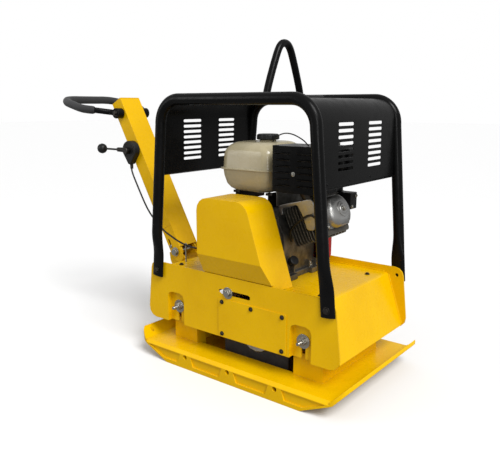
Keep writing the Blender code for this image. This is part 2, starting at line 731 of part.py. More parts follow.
def lifting_bar():
    """Cross tube between the hoops with the lifting loop of bent rod on its middle."""
    half = HOOP_Y - HOOP_RADIUS - GAP
    at = (0.020, HOOP_TOP_Z)
    bar = add_object("lifting_bar", disc((at[0], 0, at[1]), 0.017, -half, half), "black_paint")
    loop = [(-0.104, 0.935), (-0.096, 0.985), (-0.060, 1.070), (-0.030, 1.125), (0.0, 1.139),
            (0.030, 1.125), (0.060, 1.070), (0.096, 0.985), (0.104, 0.935)]
    route = smooth_route([(at[0], y, z) for y, z in loop], 0.032)
    rod = swept(route, [(0.0125, 0.0125)] * len(route), sides=8, side=Vector((1, 0, 0)))
    return weld(bar, rod)


def idler_bolt():
    """Bolt and large washer that clamp the belt idler in the side plate's slot."""
    profile = [(-0.176, 0.0075), (-SIDE_Y - GAP, 0.0075), (-SIDE_Y - GAP, 0.021), (-0.2455, 0.021),
               (-0.2455, 0.0125), (-0.2565, 0.0125)]
    return add_object("idler_bolt", turned(profile, (0, 0, 0), sides=ROUND), "zinc_steel",
                      (IDLER_X, 0, IDLER_Z))


def belt_outline(grow):
    """The belt's path round the clutch, idler and exciter pulley, seen from the right side."""
    circles = [(CRANK_X, CRANK_Z, CLUTCH_RADIUS + grow), (SHAFT_X, SHAFT_Z, EXCITER_PULLEY_RADIUS + grow),
               (IDLER_X, IDLER_Z, IDLER_RADIUS + grow)]
    outline = []
    for i, (x, z, radius) in enumerate(circles):
        before, after = circles[i - 1], circles[(i + 1) % 3]
        start = tangent_angle(before, (x, z, radius))
        end = tangent_angle((x, z, radius), after)
        while end > start:
            end -= 2 * math.pi
        steps = max(3, round((start - end) / 0.22))
        for k in range(steps + 1):
            angle = start + (end - start) * k / steps
            outline.append((x + radius * math.cos(angle), z + radius * math.sin(angle)))
    return outline


def tangent_angle(first, second):
    """Direction from a circle's centre to its outer tangent point, for a belt that runs clockwise."""
    dx, dz = second[0] - first[0], second[1] - first[1]
    return math.atan2(dz, dx) + math.acos((first[2] - second[2]) / math.hypot(dx, dz))


def drive_belt():
    half = BELT_WIDTH / 2
    belt = add_object("drive_belt", prism(belt_outline(RUN + BELT_THICK), BELT_Y - half, BELT_Y + half),
                      "rubber")
    return cut(belt, prism(belt_outline(RUN), BELT_Y - 2 * half, BELT_Y + 2 * half))


def handle_bracket():
    """Two tongue plates on a back plate, which carry the handle's pivot and the rubber stop's shelf.

    A shoulder on the tongues' rim meets the latch pin when the handle stands upright.
    """
    px, pz = PIVOT.x, PIVOT.z
    low, high = 0.190, 0.305
    rim = arc((px, pz), TONGUE_RADIUS, -25, 84, 5) + arc((px, pz), 0.0385, 86, 108, 2)
    rim += arc((px, pz), TONGUE_RADIUS, 111, 186, 4)
    inset = GAP + 0.002
    outline = [(rear_face_x(low) - inset, low), (rear_face_x(high) - inset, high), *rim,
               (px - 0.046, pz - 0.0125), (px - 0.041, pz - 0.042), (px - 0.012, pz - 0.105)]
    bracket = add_object("handle_bracket", prism(outline, -TONGUE_OUTER_Y, -TONGUE_INNER_Y), "yellow_paint")
    weld(bracket, prism(outline, TONGUE_INNER_Y, TONGUE_OUTER_Y))
    plate = [(rear_face_x(low - 0.005) - GAP, low - 0.005), (rear_face_x(high + 0.005) - GAP, high + 0.005),
             (rear_face_x(high + 0.005) - 0.006, high + 0.005), (rear_face_x(low - 0.005) - 0.006,
                                                                 low - 0.005)]
    shelf = block((px - 0.042, -TONGUE_INNER_Y - 0.001, pz - 0.0345),
                  (px - 0.022, TONGUE_INNER_Y + 0.001, pz - 0.0285))
    weld(bracket, prism(plate, -0.060, 0.060), shelf)
    return cut(bracket, disc((px, 0, pz), 0.0105, -0.1, 0.1, sides=ROUND))


def handle_stop():
    """Rubber block on the bracket's shelf, which the handle rests on."""
    px, pz = PIVOT.x, PIVOT.z
    outline = [(px - 0.041, pz - 0.0285 + GAP), (px - 0.023, pz - 0.0285 + GAP), (px - 0.0275, pz - 0.006),
               (px - 0.0410, pz - 0.0010)]
    return add_object("handle_stop", prism(outline, -0.028, 0.028), "rubber")


def handle_pivot_bolt():
    profile = [(-0.072, 0.015), (-0.0585, 0.015), (-0.0585, 0.019), (-0.0555, 0.019), (-0.0555, 0.010),
               (0.0555, 0.010), (0.0555, 0.019), (0.0585, 0.019), (0.0585, 0.015), (0.072, 0.015)]
    return add_object("handle_pivot_bolt", turned(profile, (0, 0, 0), sides=ROUND), "zinc_steel", PIVOT)


# ---------------------------------------------------------------- engine


def crankcase():
    base = ENGINE_BASE_Z
    outline = rounded([(-0.118, base, 0), (0.108, base, 0), (0.108, base + 0.020, 0.004),
                       (0.098, base + 0.024, 0),
                       (0.100, 0.505, 0.02), (0.045, 0.590, 0.02), (-0.070, 0.590, 0.035), (-0.108, 0.520,
                                                                                            0.03),
                       (-0.104, base + 0.024, 0), (-0.118, base + 0.020, 0.004)], 3)
    case = add_object("crankcase", prism(outline, CASE_FRONT_Y, CASE_BACK_Y), "engine_aluminium")
    weld(case, turned([(-0.118, 0.050), (-0.110, 0.058), (-0.095, 0.058)], (CRANK_X, 0, CRANK_Z),
                      sides=BIG_ROUND))
    weld(case, turned([(0.090, 0.070), (0.100, 0.070)], (CRANK_X, 0, CRANK_Z), sides=BIG_ROUND))
    return cut(case, disc((CRANK_X, 0, CRANK_Z), 0.0165, -0.2, 0.2))


def crankshaft():
    """Crankshaft with the flywheel that the fan shroud covers."""
    profile = [(-0.230, 0.0125), (-0.130, 0.0125), (-0.128, 0.0155), (0.106, 0.0155), (0.106, 0.098),
               (0.134, 0.098), (0.134, 0.030), (0.150, 0.030)]
    return add_object("crankshaft", turned(profile, (0, 0, 0), sides=BIG_ROUND), "machined_steel",
                      (CRANK_X, 0, CRANK_Z))


def cylinder():
    """Finned cylinder and head, in a frame on the crank axis with +X along the inclined bank."""
    core = prism(rounded([(0.118, -0.058, 0), (0.252, -0.058, 0.01), (0.252, 0.058, 0.01),
                          (0.118, 0.058, 0)], 3),
                 -0.060, 0.060)
    barrel = add_object("cylinder", core, "engine_aluminium", (CRANK_X, 0, CRANK_Z), -BANK_ANGLE)
    for i in range(8):
        x = 0.126 + 0.0143 * i
        half = 0.072 if i < 5 else 0.076
        weld(barrel, block((x, -half, -half), (x + 0.004, half, half)))
    cut(barrel, turned([(0.10, 0.044), (0.225, 0.044)], (0, 0, 0), axis="X"))
    return barrel


def valve_cover():
    """Pressed cover that closes the cylinder head."""
    outline = rounded([(-0.070, -0.052, 0.02), (0.070, -0.052, 0.02), (0.078, 0.0, 0.03),
                       (0.060, 0.056, 0.02),
                       (-0.060, 0.056, 0.02), (-0.078, 0.0, 0.03)], 2)
    cover = add_object("valve_cover", prism(outline, 0.2525, 0.264, "X"), "machined_steel",
                       (CRANK_X, 0, CRANK_Z), -BANK_ANGLE)
    crown = [(y * 0.80, z * 0.80) for y, z in outline]
    return weld(cover, prism(crown, 0.260, 0.296, "X"))


def rounded_box(low, high, radius):
    """A box with its vertical edges rounded in plan."""
    corners = [(low[0], low[1], radius), (high[0], low[1], radius), (high[0], high[1], radius),
               (low[0], high[1], radius)]
    return prism(rounded(corners), low[2], high[2], "Z")


def tank_shape(shrink=0.0):
    """Two pressed halves: a wide flange belt with a tapered foot and a domed top."""
    shape = bmesh.new()
    levels = ((TANK_LOW[2] + shrink, 0.030), (0.668, 0.008), (0.704, 0.0), (0.712, 0.0), (0.716, 0.004),
              (0.776, 0.008), (0.800, 0.026), (TANK_HIGH[2] - shrink, 0.052))
    rows = []
    for z, inset in levels:
        step = inset + shrink
        corners = [(TANK_LOW[0] + step, TANK_LOW[1] + step, 0.035),
                   (TANK_HIGH[0] - step, TANK_LOW[1] + step, 0.035),
                   (TANK_HIGH[0] - step, TANK_HIGH[1] - step, 0.035), (TANK_LOW[0] + step,
                                                                       TANK_HIGH[1] - step, 0.035)]
        rows.append([shape.verts.new((x, y, z)) for x, y in rounded(corners)])
    shape.faces.new(rows[0])
    shape.faces.new(rows[-1])
    for first, second in zip(rows, rows[1:]):
        for k in range(len(first)):
            n = (k + 1) % len(first)
            shape.faces.new((first[k], first[n], second[n], second[k]))
    return shape


def fuel_tank():
    tank = add_object("fuel_tank", tank_shape(), "tank_paint")
    weld(tank, disc((*CAP_AT, 0), 0.027, 0.800, 0.818, "Z"))
    cut(tank, tank_shape(0.0025), disc((*CAP_AT, 0), 0.022, 0.780, 0.830, "Z"))
    return tank


def fuel_cap():
    foot = 0.818 + GAP
    profile = [(foot, 0.038), (foot + 0.014, 0.041), (foot + 0.020, 0.036)]
    return add_object("fuel_cap", turned(profile, (0, 0, 0), "Z"), "black_plastic", (*CAP_AT, 0))


def muffler():
    """Hollow can with its tail pipe as the only way in."""
    wall = 0.003
    can = add_object("muffler", rounded_box(MUFFLER_LOW, MUFFLER_HIGH, 0.03), "dark_steel")
    pipe_at = (0.19, -0.05, 0)
    weld(can, disc(pipe_at, 0.016, 0.650, 0.680, "Z", SMALL_ROUND))
    low = [value + wall for value in MUFFLER_LOW]
    high = [value - wall for value in MUFFLER_HIGH]
    return cut(can, rounded_box(low, high, 0.027), disc(pipe_at, 0.012, 0.640, 0.700, "Z", SMALL_ROUND))


def muffler_guard():
    """Sheet box over the muffler, open at the bottom, with rows of louvres."""
    wall, room = 0.0025, 0.010
    low = [MUFFLER_LOW[0] - room, MUFFLER_LOW[1] - room, 0.660]
    high = [MUFFLER_HIGH[0] + room, MUFFLER_HIGH[1] + room, MUFFLER_HIGH[2] + room + 0.004]
    guard = add_object("muffler_guard", rounded_box(low, high, 0.012), "black_paint")
    inner_low = (low[0] + wall, low[1] + wall, 0.60)
    inner_high = (high[0] - wall, high[1] - wall, high[2] - wall)
    cut(guard, rounded_box(inner_low, inner_high, 0.010))
    slots = []
    for x in (0.118, 0.205):
        for row in range(5):
            z = 0.690 + 0.022 * row
            slots.append(prism(slot_outline((x, z), 0.060, 0.007, 2), -0.2, -0.12))
    return cut(guard, *slots)


def air_cleaner():
    """Air cleaner box with its elbow down to the carburettor."""
    box = add_object("air_cleaner", rounded_box((0.092, 0.002, 0.676), (0.268, 0.168, 0.800), 0.03),
                     "black_plastic")
    return weld(box, disc((0.160, 0.135, 0), 0.024, 0.640, 0.690, "Z"))


def carburettor():
    body = prism(rounded([(0.138, 0.585, 0.006), (0.182, 0.585, 0.006), (0.182, 0.6395, 0.006),
                          (0.138, 0.6395, 0.006)], 2),
                 0.108, 0.162)
    item = add_object("carburettor", body, "engine_aluminium")
    return weld(item, disc((0.160, 0.135, 0), 0.020, 0.560, 0.590, "Z"))


def shroud_outline(shrink=0.0):
    base = 0.372 + shrink
    return rounded([(-0.130 + shrink, base, 0.02), (0.128 - shrink, base, 0.02),
                    (0.128 - shrink, 0.545, 0.03),
                    (0.070, 0.612 - shrink, 0.03), (-0.085, 0.612 - shrink, 0.04), (-0.130 + shrink, 0.545,
                                                                                    0.04)], 3)


def fan_shroud():
    """Pressed cover round the flywheel, open towards the crankcase and at the recoil starter."""
    shroud = add_object("fan_shroud", prism(shroud_outline(), CASE_BACK_Y + GAP, 0.172), "red_paint")
    cut(shroud, prism(shroud_outline(0.003), 0.05, 0.169), disc((CRANK_X, 0, CRANK_Z), 0.074, 0.1, 0.3,
                                                                sides=BIG_ROUND))
    return shroud


def recoil_cover():
    profile = [(0.1725, 0.088), (0.190, 0.088), (0.212, 0.074), (0.222, 0.040)]
    cover = add_object("recoil_cover", turned(profile, (0, 0, 0), sides=BIG_ROUND), "red_paint",
                       (CRANK_X, 0, CRANK_Z))
    guide = block((0.044, 0.176, 0.060), (0.076, 0.2132, 0.090))
    return weld(cover, guide)


def starter_grip():
    """Pull grip of the recoil starter, seated on its guide."""
    outline = rounded([(-0.032, 0.0, 0.004), (0.032, 0.0, 0.004), (0.040, 0.018, 0.006),
                       (-0.040, 0.018, 0.006)], 2)
    shape = prism(outline, -0.009, 0.009, "Z")
    return add_object("starter_grip", shape, "black_plastic", GRIP_AT)


def governor_arm():
    """Engine throttle arm that the cable pulls."""
    outline = arc((0, 0), 0.009, 200, 340, 5) + arc((0, 0.034), 0.006, 0, 180, 5)
    return add_object("governor_arm", prism(outline, 0.0, 0.003), "zinc_steel", GOVERNOR_AT)


def governor_bracket_on(case):
    return weld(case, block((-0.150, 0.0435, 0.500), (-0.090, 0.0475, 0.560)))


def engine_switch():
    profile = [(0.1725, 0.014), (0.184, 0.014), (0.184, 0.010), (0.192, 0.010)]
    knob = add_object("engine_switch", turned(profile, (0, 0, 0)), "black_plastic", (-0.095, 0, 0.400))
    return weld(knob, block((-0.003, 0.188, -0.013), (0.003, 0.197, 0.013)))


# ---------------------------------------------------------------- handle


def arm_point(forward, up, y=0.0):
    """A world point from a place in the handle arm's own frame."""
    turn = Matrix.Rotation(-ARM_TILT, 3, "Y")
    return PIVOT + turn @ Vector((forward, 0, up)) + Vector((0, y, 0))


def cheek_outline():
    """Side wall of the arm, with its rounded lower end round the pivot."""
    end = arc((0.004, -0.022), ARM_HALF_DEPTH - 0.004, -160, -20, 5)
    return [(-ARM_HALF_DEPTH, ARM_LENGTH), (-ARM_HALF_DEPTH, -0.010), *end, (ARM_HALF_DEPTH, -0.002),
            (ARM_HALF_DEPTH, ARM_LENGTH)]


def handle_arm():
    """Box arm whose open lower end straddles the bracket's tongues."""
    deep, wide, wall = ARM_HALF_DEPTH, ARM_HALF_WIDTH, ARM_WALL
    arm = add_object("handle_arm", prism(cheek_outline(), -wide, wide), "yellow_paint", PIVOT, -ARM_TILT)
    inside = block((-deep + wall, -wide + wall, 0.010), (deep - wall, wide - wall, ARM_LENGTH - wall))
    fork = block((-0.1, -wide + wall, -0.1), (0.1, wide - wall, 0.0125))
    cut(arm, fork, inside)
    slot = [(x, z) for z, x in slot_outline((PIN_AT[1] + 0.0135, PIN_AT[0]), 0.037, 0.0104, 4)]
    cut(arm, disc((0, 0, 0), 0.0105, -0.1, 0.1, sides=ROUND), prism(slot, -0.1, 0.1),
        disc((LOOP_AT[0], 0, LOOP_AT[1]), 0.0095, -0.1, 0.1, sides=ROUND))
    return arm


def latch_pin():
    """Cross pin that slides in the arm's slots to lock the handle upright."""
    head = ARM_HALF_WIDTH + GAP
    profile = [(-head - 0.004, 0.0070), (-head, 0.0080), (-head, 0.0045), (head, 0.0045), (head, 0.0080),
               (head + 0.004, 0.0070)]
    at = arm_point(*PIN_AT)
    return add_object("latch_pin", turned(profile, (0, 0, 0), sides=SMALL_ROUND), "zinc_steel", at,
                      -ARM_TILT)


def control_loop():
    """Travel control loop that pivots on the arm's head."""
    centre = arm_point(*LOOP_AT)
    half = [(0.0, -0.0710, 0.0), (-0.030, -0.080, 0.004), (-0.075, -0.124, 0.012), (-0.125, -0.153, 0.019),
            (-0.190, -0.155, 0.034), (-0.238, -0.146, 0.044), (-0.270, -0.122, 0.052), (-0.281, -0.085,
                                                                                        0.055),
            (-0.2825, -0.040, 0.055)]
    points = half + [(x, -y, z) for x, y, z in reversed(half)]
    route = smooth_route(points, 0.040)
    loop = add_object("control_loop", swept(route, [(0.0155, 0.0155)] * len(route), sides=10,
                                            side=Vector((0, 0, 1))),
                      "black_plastic", centre)
    shaft = disc((0, 0, 0), 0.009, -0.066, 0.066, sides=ROUND)
    hubs = [disc((0, 0, 0), 0.021, sign * 0.0535, sign * 0.086) for sign in (-1, 1)]
    return weld(loop, shaft, *hubs)


def throttle_housing():
    """Round throttle box on the arm's right side, with its cable outlet."""
    centre = arm_point(*LEVER_AT)
    outline = arc((0, 0), 0.040, -15, 195, 9) + arc((0.0, -0.044), 0.013, 200, 340, 4)
    face = -ARM_HALF_WIDTH - GAP
    item = add_object("throttle_housing", prism(outline, face - 0.028, face), "black_plastic", centre)
    return cut(item, disc((0, 0, 0), 0.0065, -0.2, 0.0, sides=SMALL_ROUND))


def throttle_lever():
    """Lever rod and ball knob, turning on the throttle box."""
    centre = arm_point(*LEVER_AT)
    face = -ARM_HALF_WIDTH - GAP - 0.028 - GAP
    boss = turned([(face + 0.020, 0.006), (face, 0.006), (face, 0.014), (face - 0.021, 0.014)], (0, 0, 0))
    lever = add_object("throttle_lever", boss, "black_plastic", centre)
    at = face - 0.0108
    rod = turned([(-0.145, 0.004), (-0.055, 0.004), (-0.052, 0.009), (-0.008, 0.010)], (0, at, 0.003), "X",
                 SMALL_ROUND)
    knob = turned([(-0.175, 0.008), (-0.169, 0.017), (-0.155, 0.021), (-0.141, 0.017), (-0.135, 0.008)],
                  (0, at, 0.003), "X", SMALL_ROUND)
    return weld(lever, rod, knob)


def throttle_cable():
    """Bowden cable from the throttle box to the engine's throttle arm."""
    route = smooth_route(CABLE_POINTS, 0.021)
    curve = bpy.data.curves.new("throttle_cable", "CURVE")
    curve.dimensions = "3D"
    curve.bevel_depth = CABLE_RADIUS
    curve.bevel_resolution = 2
    curve.use_fill_caps = True
    line = curve.splines.new("POLY")
    line.points.add(len(route) - 1)
    for point, place in zip(line.points, route):
        point.co = (*place, 1.0)
    cable = bpy.data.objects.new("throttle_cable", curve)
    curve.materials.append(bpy.data.materials.get("black_plastic"))
    bpy.context.collection.objects.link(cable)
    return cable


# ---------------------------------------------------------------- assembly


def build_base():
    base_plate()
    exciter_housing()
    for sign in (-1, 1):
        exciter_cover(sign)
        for x in MOUNT_X.values():
            rubber_mount(x, sign)
            mount_stud(x, sign)
        for x in (-SHAFT_X, SHAFT_X):
            exciter_bearing(x, sign)
    for x in (-SHAFT_X, SHAFT_X):
        eccentric_shaft(x)
        sync_gear(x)


def build_drive():
    grooved_pulley("exciter_pulley", EXCITER_PULLEY_RADIUS, (SHAFT_X, SHAFT_Z), 0.018 + 2 * GAP,
                   (0.030, -0.164))
    grooved_pulley("clutch_pulley", CLUTCH_RADIUS, (CRANK_X, CRANK_Z), 0.0125 + GAP, (0.045, -0.142))
    grooved_pulley("idler_pulley", IDLER_RADIUS, (IDLER_X, IDLER_Z), 0.0075 + RUN)
    drive_belt()
    idler_bolt()


def build_chassis():
    for sign in (-1, 1):
        side_plate(sign)
        roll_hoop(sign)
        cage_panel(sign)
    deck_tray()
    rear_plate()
    access_cover()
    belt_guard()
    lifting_bar()
    handle_bracket()
    handle_stop()
    handle_pivot_bolt()


def build_engine():
    governor_bracket_on(crankcase())
    crankshaft()
    cylinder()
    valve_cover()
    fuel_tank()
    fuel_cap()
    muffler()
    muffler_guard()
    air_cleaner()
    carburettor()
    fan_shroud()
    recoil_cover()
    starter_grip()
    governor_arm()
    engine_switch()


def build_handle():
    handle_arm()
    latch_pin()
    control_loop()
    throttle_housing()
    throttle_lever()
    throttle_cable()


def finish_shading():
    group = shading_group()
    for item in bpy.data.objects:
        if item.type == "MESH" and not item.hide_render:
            shade_by_angle(item, group)


clear_scene()
build_base()
build_drive()
build_chassis()
build_engine()
build_handle()
finish_shading()
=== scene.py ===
"""Looks of the reversible plate compactor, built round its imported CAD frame.

Metres, +Z up, +X forward and -Y the machine's right side, as in the frame.
"""

import math

import bmesh
import bpy
from mathutils import Matrix, Vector


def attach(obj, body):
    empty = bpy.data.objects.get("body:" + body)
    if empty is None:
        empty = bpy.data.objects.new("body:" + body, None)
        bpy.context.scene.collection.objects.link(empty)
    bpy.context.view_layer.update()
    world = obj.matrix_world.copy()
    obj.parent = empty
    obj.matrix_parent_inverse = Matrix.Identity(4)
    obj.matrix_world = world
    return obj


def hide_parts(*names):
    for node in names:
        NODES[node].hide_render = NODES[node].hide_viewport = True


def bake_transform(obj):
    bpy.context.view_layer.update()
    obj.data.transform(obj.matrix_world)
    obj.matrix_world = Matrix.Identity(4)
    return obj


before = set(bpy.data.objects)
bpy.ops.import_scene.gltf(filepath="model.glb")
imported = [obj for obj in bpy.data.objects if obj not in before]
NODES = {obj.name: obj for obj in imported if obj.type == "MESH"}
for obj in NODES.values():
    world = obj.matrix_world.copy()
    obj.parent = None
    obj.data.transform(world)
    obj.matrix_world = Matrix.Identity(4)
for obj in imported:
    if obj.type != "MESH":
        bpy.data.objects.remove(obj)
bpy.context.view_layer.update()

FORWARD = Vector((1, 0, 0))
UP = Vector((0, 0, 1))

# Fine detail
ROUND = 40
SMALL_ROUND = 24
SHARP_ANGLE = math.radians(38)
FOLD_ANGLE = math.radians(23.7)  # lower limit, for sheet with shallow folds
EDGE = 0.0012  # usual radius of a sheet or casting edge
BOLT_EDGE = 0.0003
SMALL_BOLT_EDGE = 0.0002
GAP = 0.0003  # air between neighbouring pieces
BEVEL_SAMPLES = 4
MIX_A, MIX_B, MIX_RESULT = 6, 7, 2  # colour sockets of a Mix node

# Camera, floor and light
LENS = 42.912
LENS_SHIFT = (0.0188, 0.0422)
CAMERA_AT = (1.218, -1.733, 0.938)
CAMERA_YAW, CAMERA_PITCH = 2.246, 0.233
WHITE = (1.0, 1.0, 1.0, 1.0)
WORLD_LIGHT = 0.50
FLOOR_BOUNCE = (0.26, 0.26, 0.26, 1.0)  # what the floor sends back up, under its white look
FLOOR_REACH = 30.0
FLOOR_Z = -0.0004
SUN_POWER = 2.7
SUN_WIDTH = math.radians(28)
SUN_WAY = (-0.62, 0.26, -0.78)
BOX_TARGET = (0, 0, 0.5)
BOX_SIZE = (0.8, 1.8)

# Repeats of one shape
PANEL_SLOT_ROWS = 8
PANEL_SLOT_PITCH = 0.0193
PANEL_SLOT_FOOT_Z = 0.746
LOUVRE_ROWS = 6
LOUVRE_PITCH = 0.0205
LOUVRE_GAP = 0.0066
FIN_COUNT = 11
FIN_PITCH = 0.0119
FIN_THICK = 0.0026
BARREL_FINS = 6
BARREL_FIN_HALF = 0.071
HEAD_FIN_HALF = 0.0755
RECOIL_SLOTS = 14
CAP_RIBS = 24

# Places that repeat the frame's own driving sizes
MOUNT_X = (-0.284, 0.264)
MOUNT_Z = 0.205
POST_HALF_WIDTH = 0.057
POST_OUTER_Y = 0.190
POST_INNER_Y = 0.142
PLATE_FLOOR_Z = 0.012
SIDE_Y = 0.242
POCKET_FLOOR_Y = 0.221
HOOP_Y = 0.2615
HOOP_RADIUS = 0.019
HOOP_TOP_Z = 0.956
HOOP_TOP_X = 0.3145
HOOP_BEND = 0.085
FOOT_X = 0.364
FOOT_BOLT_Z = 0.339
PANEL_X = 0.319
PANEL_TOP_Z = 0.958
PANEL_BOTTOM_Z = 0.698
CRANK = Vector((-0.005, 0.0, 0.478))
BANK_ANGLE = math.radians(25)
PIVOT = Vector((-0.466, 0.0, 0.354))
ARM_TILT = math.radians(28.9)
ARM_HALF_WIDTH = 0.052
ARM_HALF_DEPTH = 0.029
LOOP_AT = (0.004, 0.625)
LEVER_AT = (-0.011, 0.462)
CABLE_POINTS = ((-0.6989, -0.0665, 0.6950), (-0.6920, -0.0710, 0.6650), (-0.6500, -0.0790, 0.6050),
                (-0.6000, -0.0850, 0.5350), (-0.5560, -0.0900, 0.4920), (-0.4880, -0.1000, 0.4510),
                (-0.4390, -0.1080, 0.4340), (-0.3600, -0.1180, 0.4140), (-0.2800, -0.1220, 0.4090),
                (-0.2200, -0.1020, 0.4250), (-0.1850, -0.0600, 0.4600), (-0.1680, -0.0150, 0.5100),
                (-0.1480, 0.0200, 0.5600), (-0.1420, 0.0335, 0.5760))


# Mesh helpers


def along(axis, across, depth):
    """A point from a position in the plane across an axis, and its depth along that axis."""
    a, b = across
    return {"X": (depth, a, b), "Y": (a, depth, b), "Z": (a, b, depth)}[axis]


def stacked(rings, closed=False):
    """A skin through rings with the same number of points, with end faces unless it closes on itself."""
    shape = bmesh.new()
    rows = [[shape.verts.new(point) for point in ring] for ring in rings]
    pairs = list(zip(rows, rows[1:]))
    if closed:
        pairs.append((rows[-1], rows[0]))
    else:
        shape.faces.new(rows[0])
        shape.faces.new(rows[-1])
    for first, second in pairs:
        for k in range(len(first)):
            n = (k + 1) % len(first)
            shape.faces.new((first[k], first[n], second[n], second[k]))
    return shape


def prism(outline, low, high, axis="Y"):
    """An outline extruded along an axis."""
    return stacked([[along(axis, point, depth) for point in outline] for depth in (low, high)])


def block(low, high):
    outline = [(low[0], low[2]), (high[0], low[2]), (high[0], high[2]), (low[0], high[2])]
    return prism(outline, low[1], high[1])


def arc(centre, radius, start, end, steps):
    """Points on a circle from one angle to another, in degrees."""
    angles = [math.radians(start + (end - start) * i / steps) for i in range(steps + 1)]
    return [(centre[0] + radius * math.cos(t), centre[1] + radius * math.sin(t)) for t in angles]


def rounded(corners, steps=8):
    """An outline whose corners (a, b, radius) are rounded where the radius isn't 0."""
    outline = []
    count = len(corners)
    for i, (x, z, radius) in enumerate(corners):
        here = Vector((x, z))
        if radius == 0:
            outline.append((x, z))
            continue
        before = (Vector(corners[i - 1][:2]) - here).normalized()
        after = (Vector(corners[(i + 1) % count][:2]) - here).normalized()
        half = before.angle(after) / 2
        centre = here + (before + after).normalized() * radius / math.sin(half)
        start = here + before * radius / math.tan(half) - centre
        finish = here + after * radius / math.tan(half) - centre
        turn = start.angle_signed(finish)
        for k in range(steps + 1):
            outline.append(tuple(centre + Matrix.Rotation(-turn * k / steps, 2) @ start))
    return outline


def rectangle(low, high, radius, steps=8):
    corners = [(low[0], low[1]), (high[0], low[1]), (high[0], high[1]), (low[0], high[1])]
    return rounded([(*corner, radius) for corner in corners], steps)


def slot_outline(centre, length, width, steps=8):
    """A slot with round ends, long in the first direction."""
    reach = (length - width) / 2
    right = arc((centre[0] + reach, centre[1]), width / 2, -90, 90, steps)
    return right + arc((centre[0] - reach, centre[1]), width / 2, 90, 270, steps)


def turned(profile, centre=(0, 0, 0), axis="Y", sides=ROUND, ring=False):
    """A turned piece from (along, radius) points. With ring, the profile is a closed loop round a bore."""
    angles = [2 * math.pi * i / sides for i in range(sides)]
    rings = []
    for depth, radius in profile:
        circle = [(radius * math.cos(t), radius * math.sin(t)) for t in angles]
        rings.append([Vector(along(axis, point, depth)) + Vector(centre) for point in circle])
    return stacked(rings, ring)


def smooth_route(points, spacing):
    """Points at an even spacing along a Catmull-Rom curve through the given ones."""
    nodes = [Vector(p) for p in points]
    nodes = [2 * nodes[0] - nodes[1]] + nodes + [2 * nodes[-1] - nodes[-2]]
    dense = []
    for a, b, c, d in zip(nodes, nodes[1:], nodes[2:], nodes[3:]):
        for k in range(24):
            t = k / 24
            dense.append(0.5 * (2 * b + (c - a) * t + (2 * a - 5 * b + 4 * c - d) * t**2
                                + (3 * b - 3 * c + d - a) * t**3))
    dense.append(nodes[-2])
    total = sum((b - a).length for a, b in zip(dense, dense[1:]))
    count = max(2, round(total / spacing))
    route, walked, target = [dense[0]], 0.0, total / count
    for a, b in zip(dense, dense[1:]):
        step = (b - a).length
        while walked + step >= target and len(route) < count:
            route.append(a.lerp(b, (target - walked) / step))
            target += total / count
        walked += step
    return route + [dense[-1]]


def swept(route, sections, sides=SMALL_ROUND, side=Vector((0, 1, 0))):
    """A bar along a route. A section is its half widths along the side direction and across it."""
    rings = []
    for i, point in enumerate(route):
        ahead = (route[min(i + 1, len(route) - 1)] - route[max(i - 1, 0)]).normalized()
        across = (side - ahead * side.dot(ahead)).normalized()
        upright = ahead.cross(across)
        wide, tall = sections[i]
        ring = []
        for k in range(sides):
            angle = 2 * math.pi * (k + 0.5) / sides
            ring.append(point + across * (wide * math.cos(angle)) + upright * (tall * math.sin(angle)))
        rings.append(ring)
    return stacked(rings)


def rod(points, radius, spacing=0.008, sides=14, side=Vector((0, 1, 0))):
    """A round bar through a few points."""
    route = smooth_route(points, spacing)
    return swept(route, [(radius, radius)] * len(route), sides, side)


def mesh_of(name, shape):
    """The shape as a mesh whose faces all point outwards."""
    mesh = bpy.data.meshes.new(name)
    bmesh.ops.recalc_face_normals(shape, faces=shape.faces)
    shape.to_mesh(mesh)
    shape.free()
    return mesh


def joined(*shapes):
    """Several shapes as one mesh of separate shells."""
    whole = bmesh.new()
    for shape in shapes:
        mesh = mesh_of("shell", shape)
        whole.from_mesh(mesh)
        bpy.data.meshes.remove(mesh)
    return whole


def placed(shape, matrix):
    bmesh.ops.transform(shape, matrix=matrix, verts=shape.verts)
    return shape


def facing(at, direction):
    """Places a shape that is made along +Z so that it points in a direction."""
    turn = Vector(direction).to_track_quat("Z", "Y").to_matrix().to_4x4()
    return Matrix.Translation(at) @ turn


def bolt(at, direction, radius=0.009, washer=1.35, height=0.65, stud=0.0):
    """Hex head or nut on a washer, standing on a face, with the end of a threaded stud if one shows."""
    base = 0.0018
    top = base + height * radius
    head = turned([(base, radius * 0.90), (base + 0.0006, radius), (top - 0.0010, radius),
                   (top, radius * 0.84)],
                  axis="Z", sides=6)
    plate = turned([(0.0, washer * radius - 0.0003), (0.0004, washer * radius),
                    (base - 0.0004, washer * radius),
                    (base, washer * radius - 0.0004)], axis="Z", sides=SMALL_ROUND)
    shapes = [head, plate]
    if stud:
        shapes.append(threaded(radius * 0.55, top, top + stud))
    return placed(joined(*shapes), facing(at, direction))


def threaded(radius, low, high):
    """Thread as close ridges between two depths along +Z."""
    pitch = 0.0015
    count = max(2, int((high - low) / pitch))
    profile = []
    for i in range(count):
        z = low + i * pitch
        profile += [(z, radius * 0.86), (z + pitch * 0.5, radius)]
    return turned(profile + [(high, radius * 0.80)], axis="Z", sides=16)


def weld_bead(start, end, radius=0.0032):
    """Ripple of a fillet weld between two points."""
    start, end = Vector(start), Vector(end)
    length = (end - start).length
    count = max(6, round(length / 0.0022))
    route = [start.lerp(end, i / count) for i in range(count + 1)]
    sections = []
    for i in range(count + 1):
        swell = radius * (1.0 + 0.13 * math.cos(i * 2.1) + 0.05 * math.sin(i * 0.7))
        if i in (0, count):
            swell *= 0.5
        sections.append((swell, swell))
    side = UP if abs((end - start).normalized().z) < 0.9 else FORWARD
    return swept(route, sections, 10, side)


# Object helpers


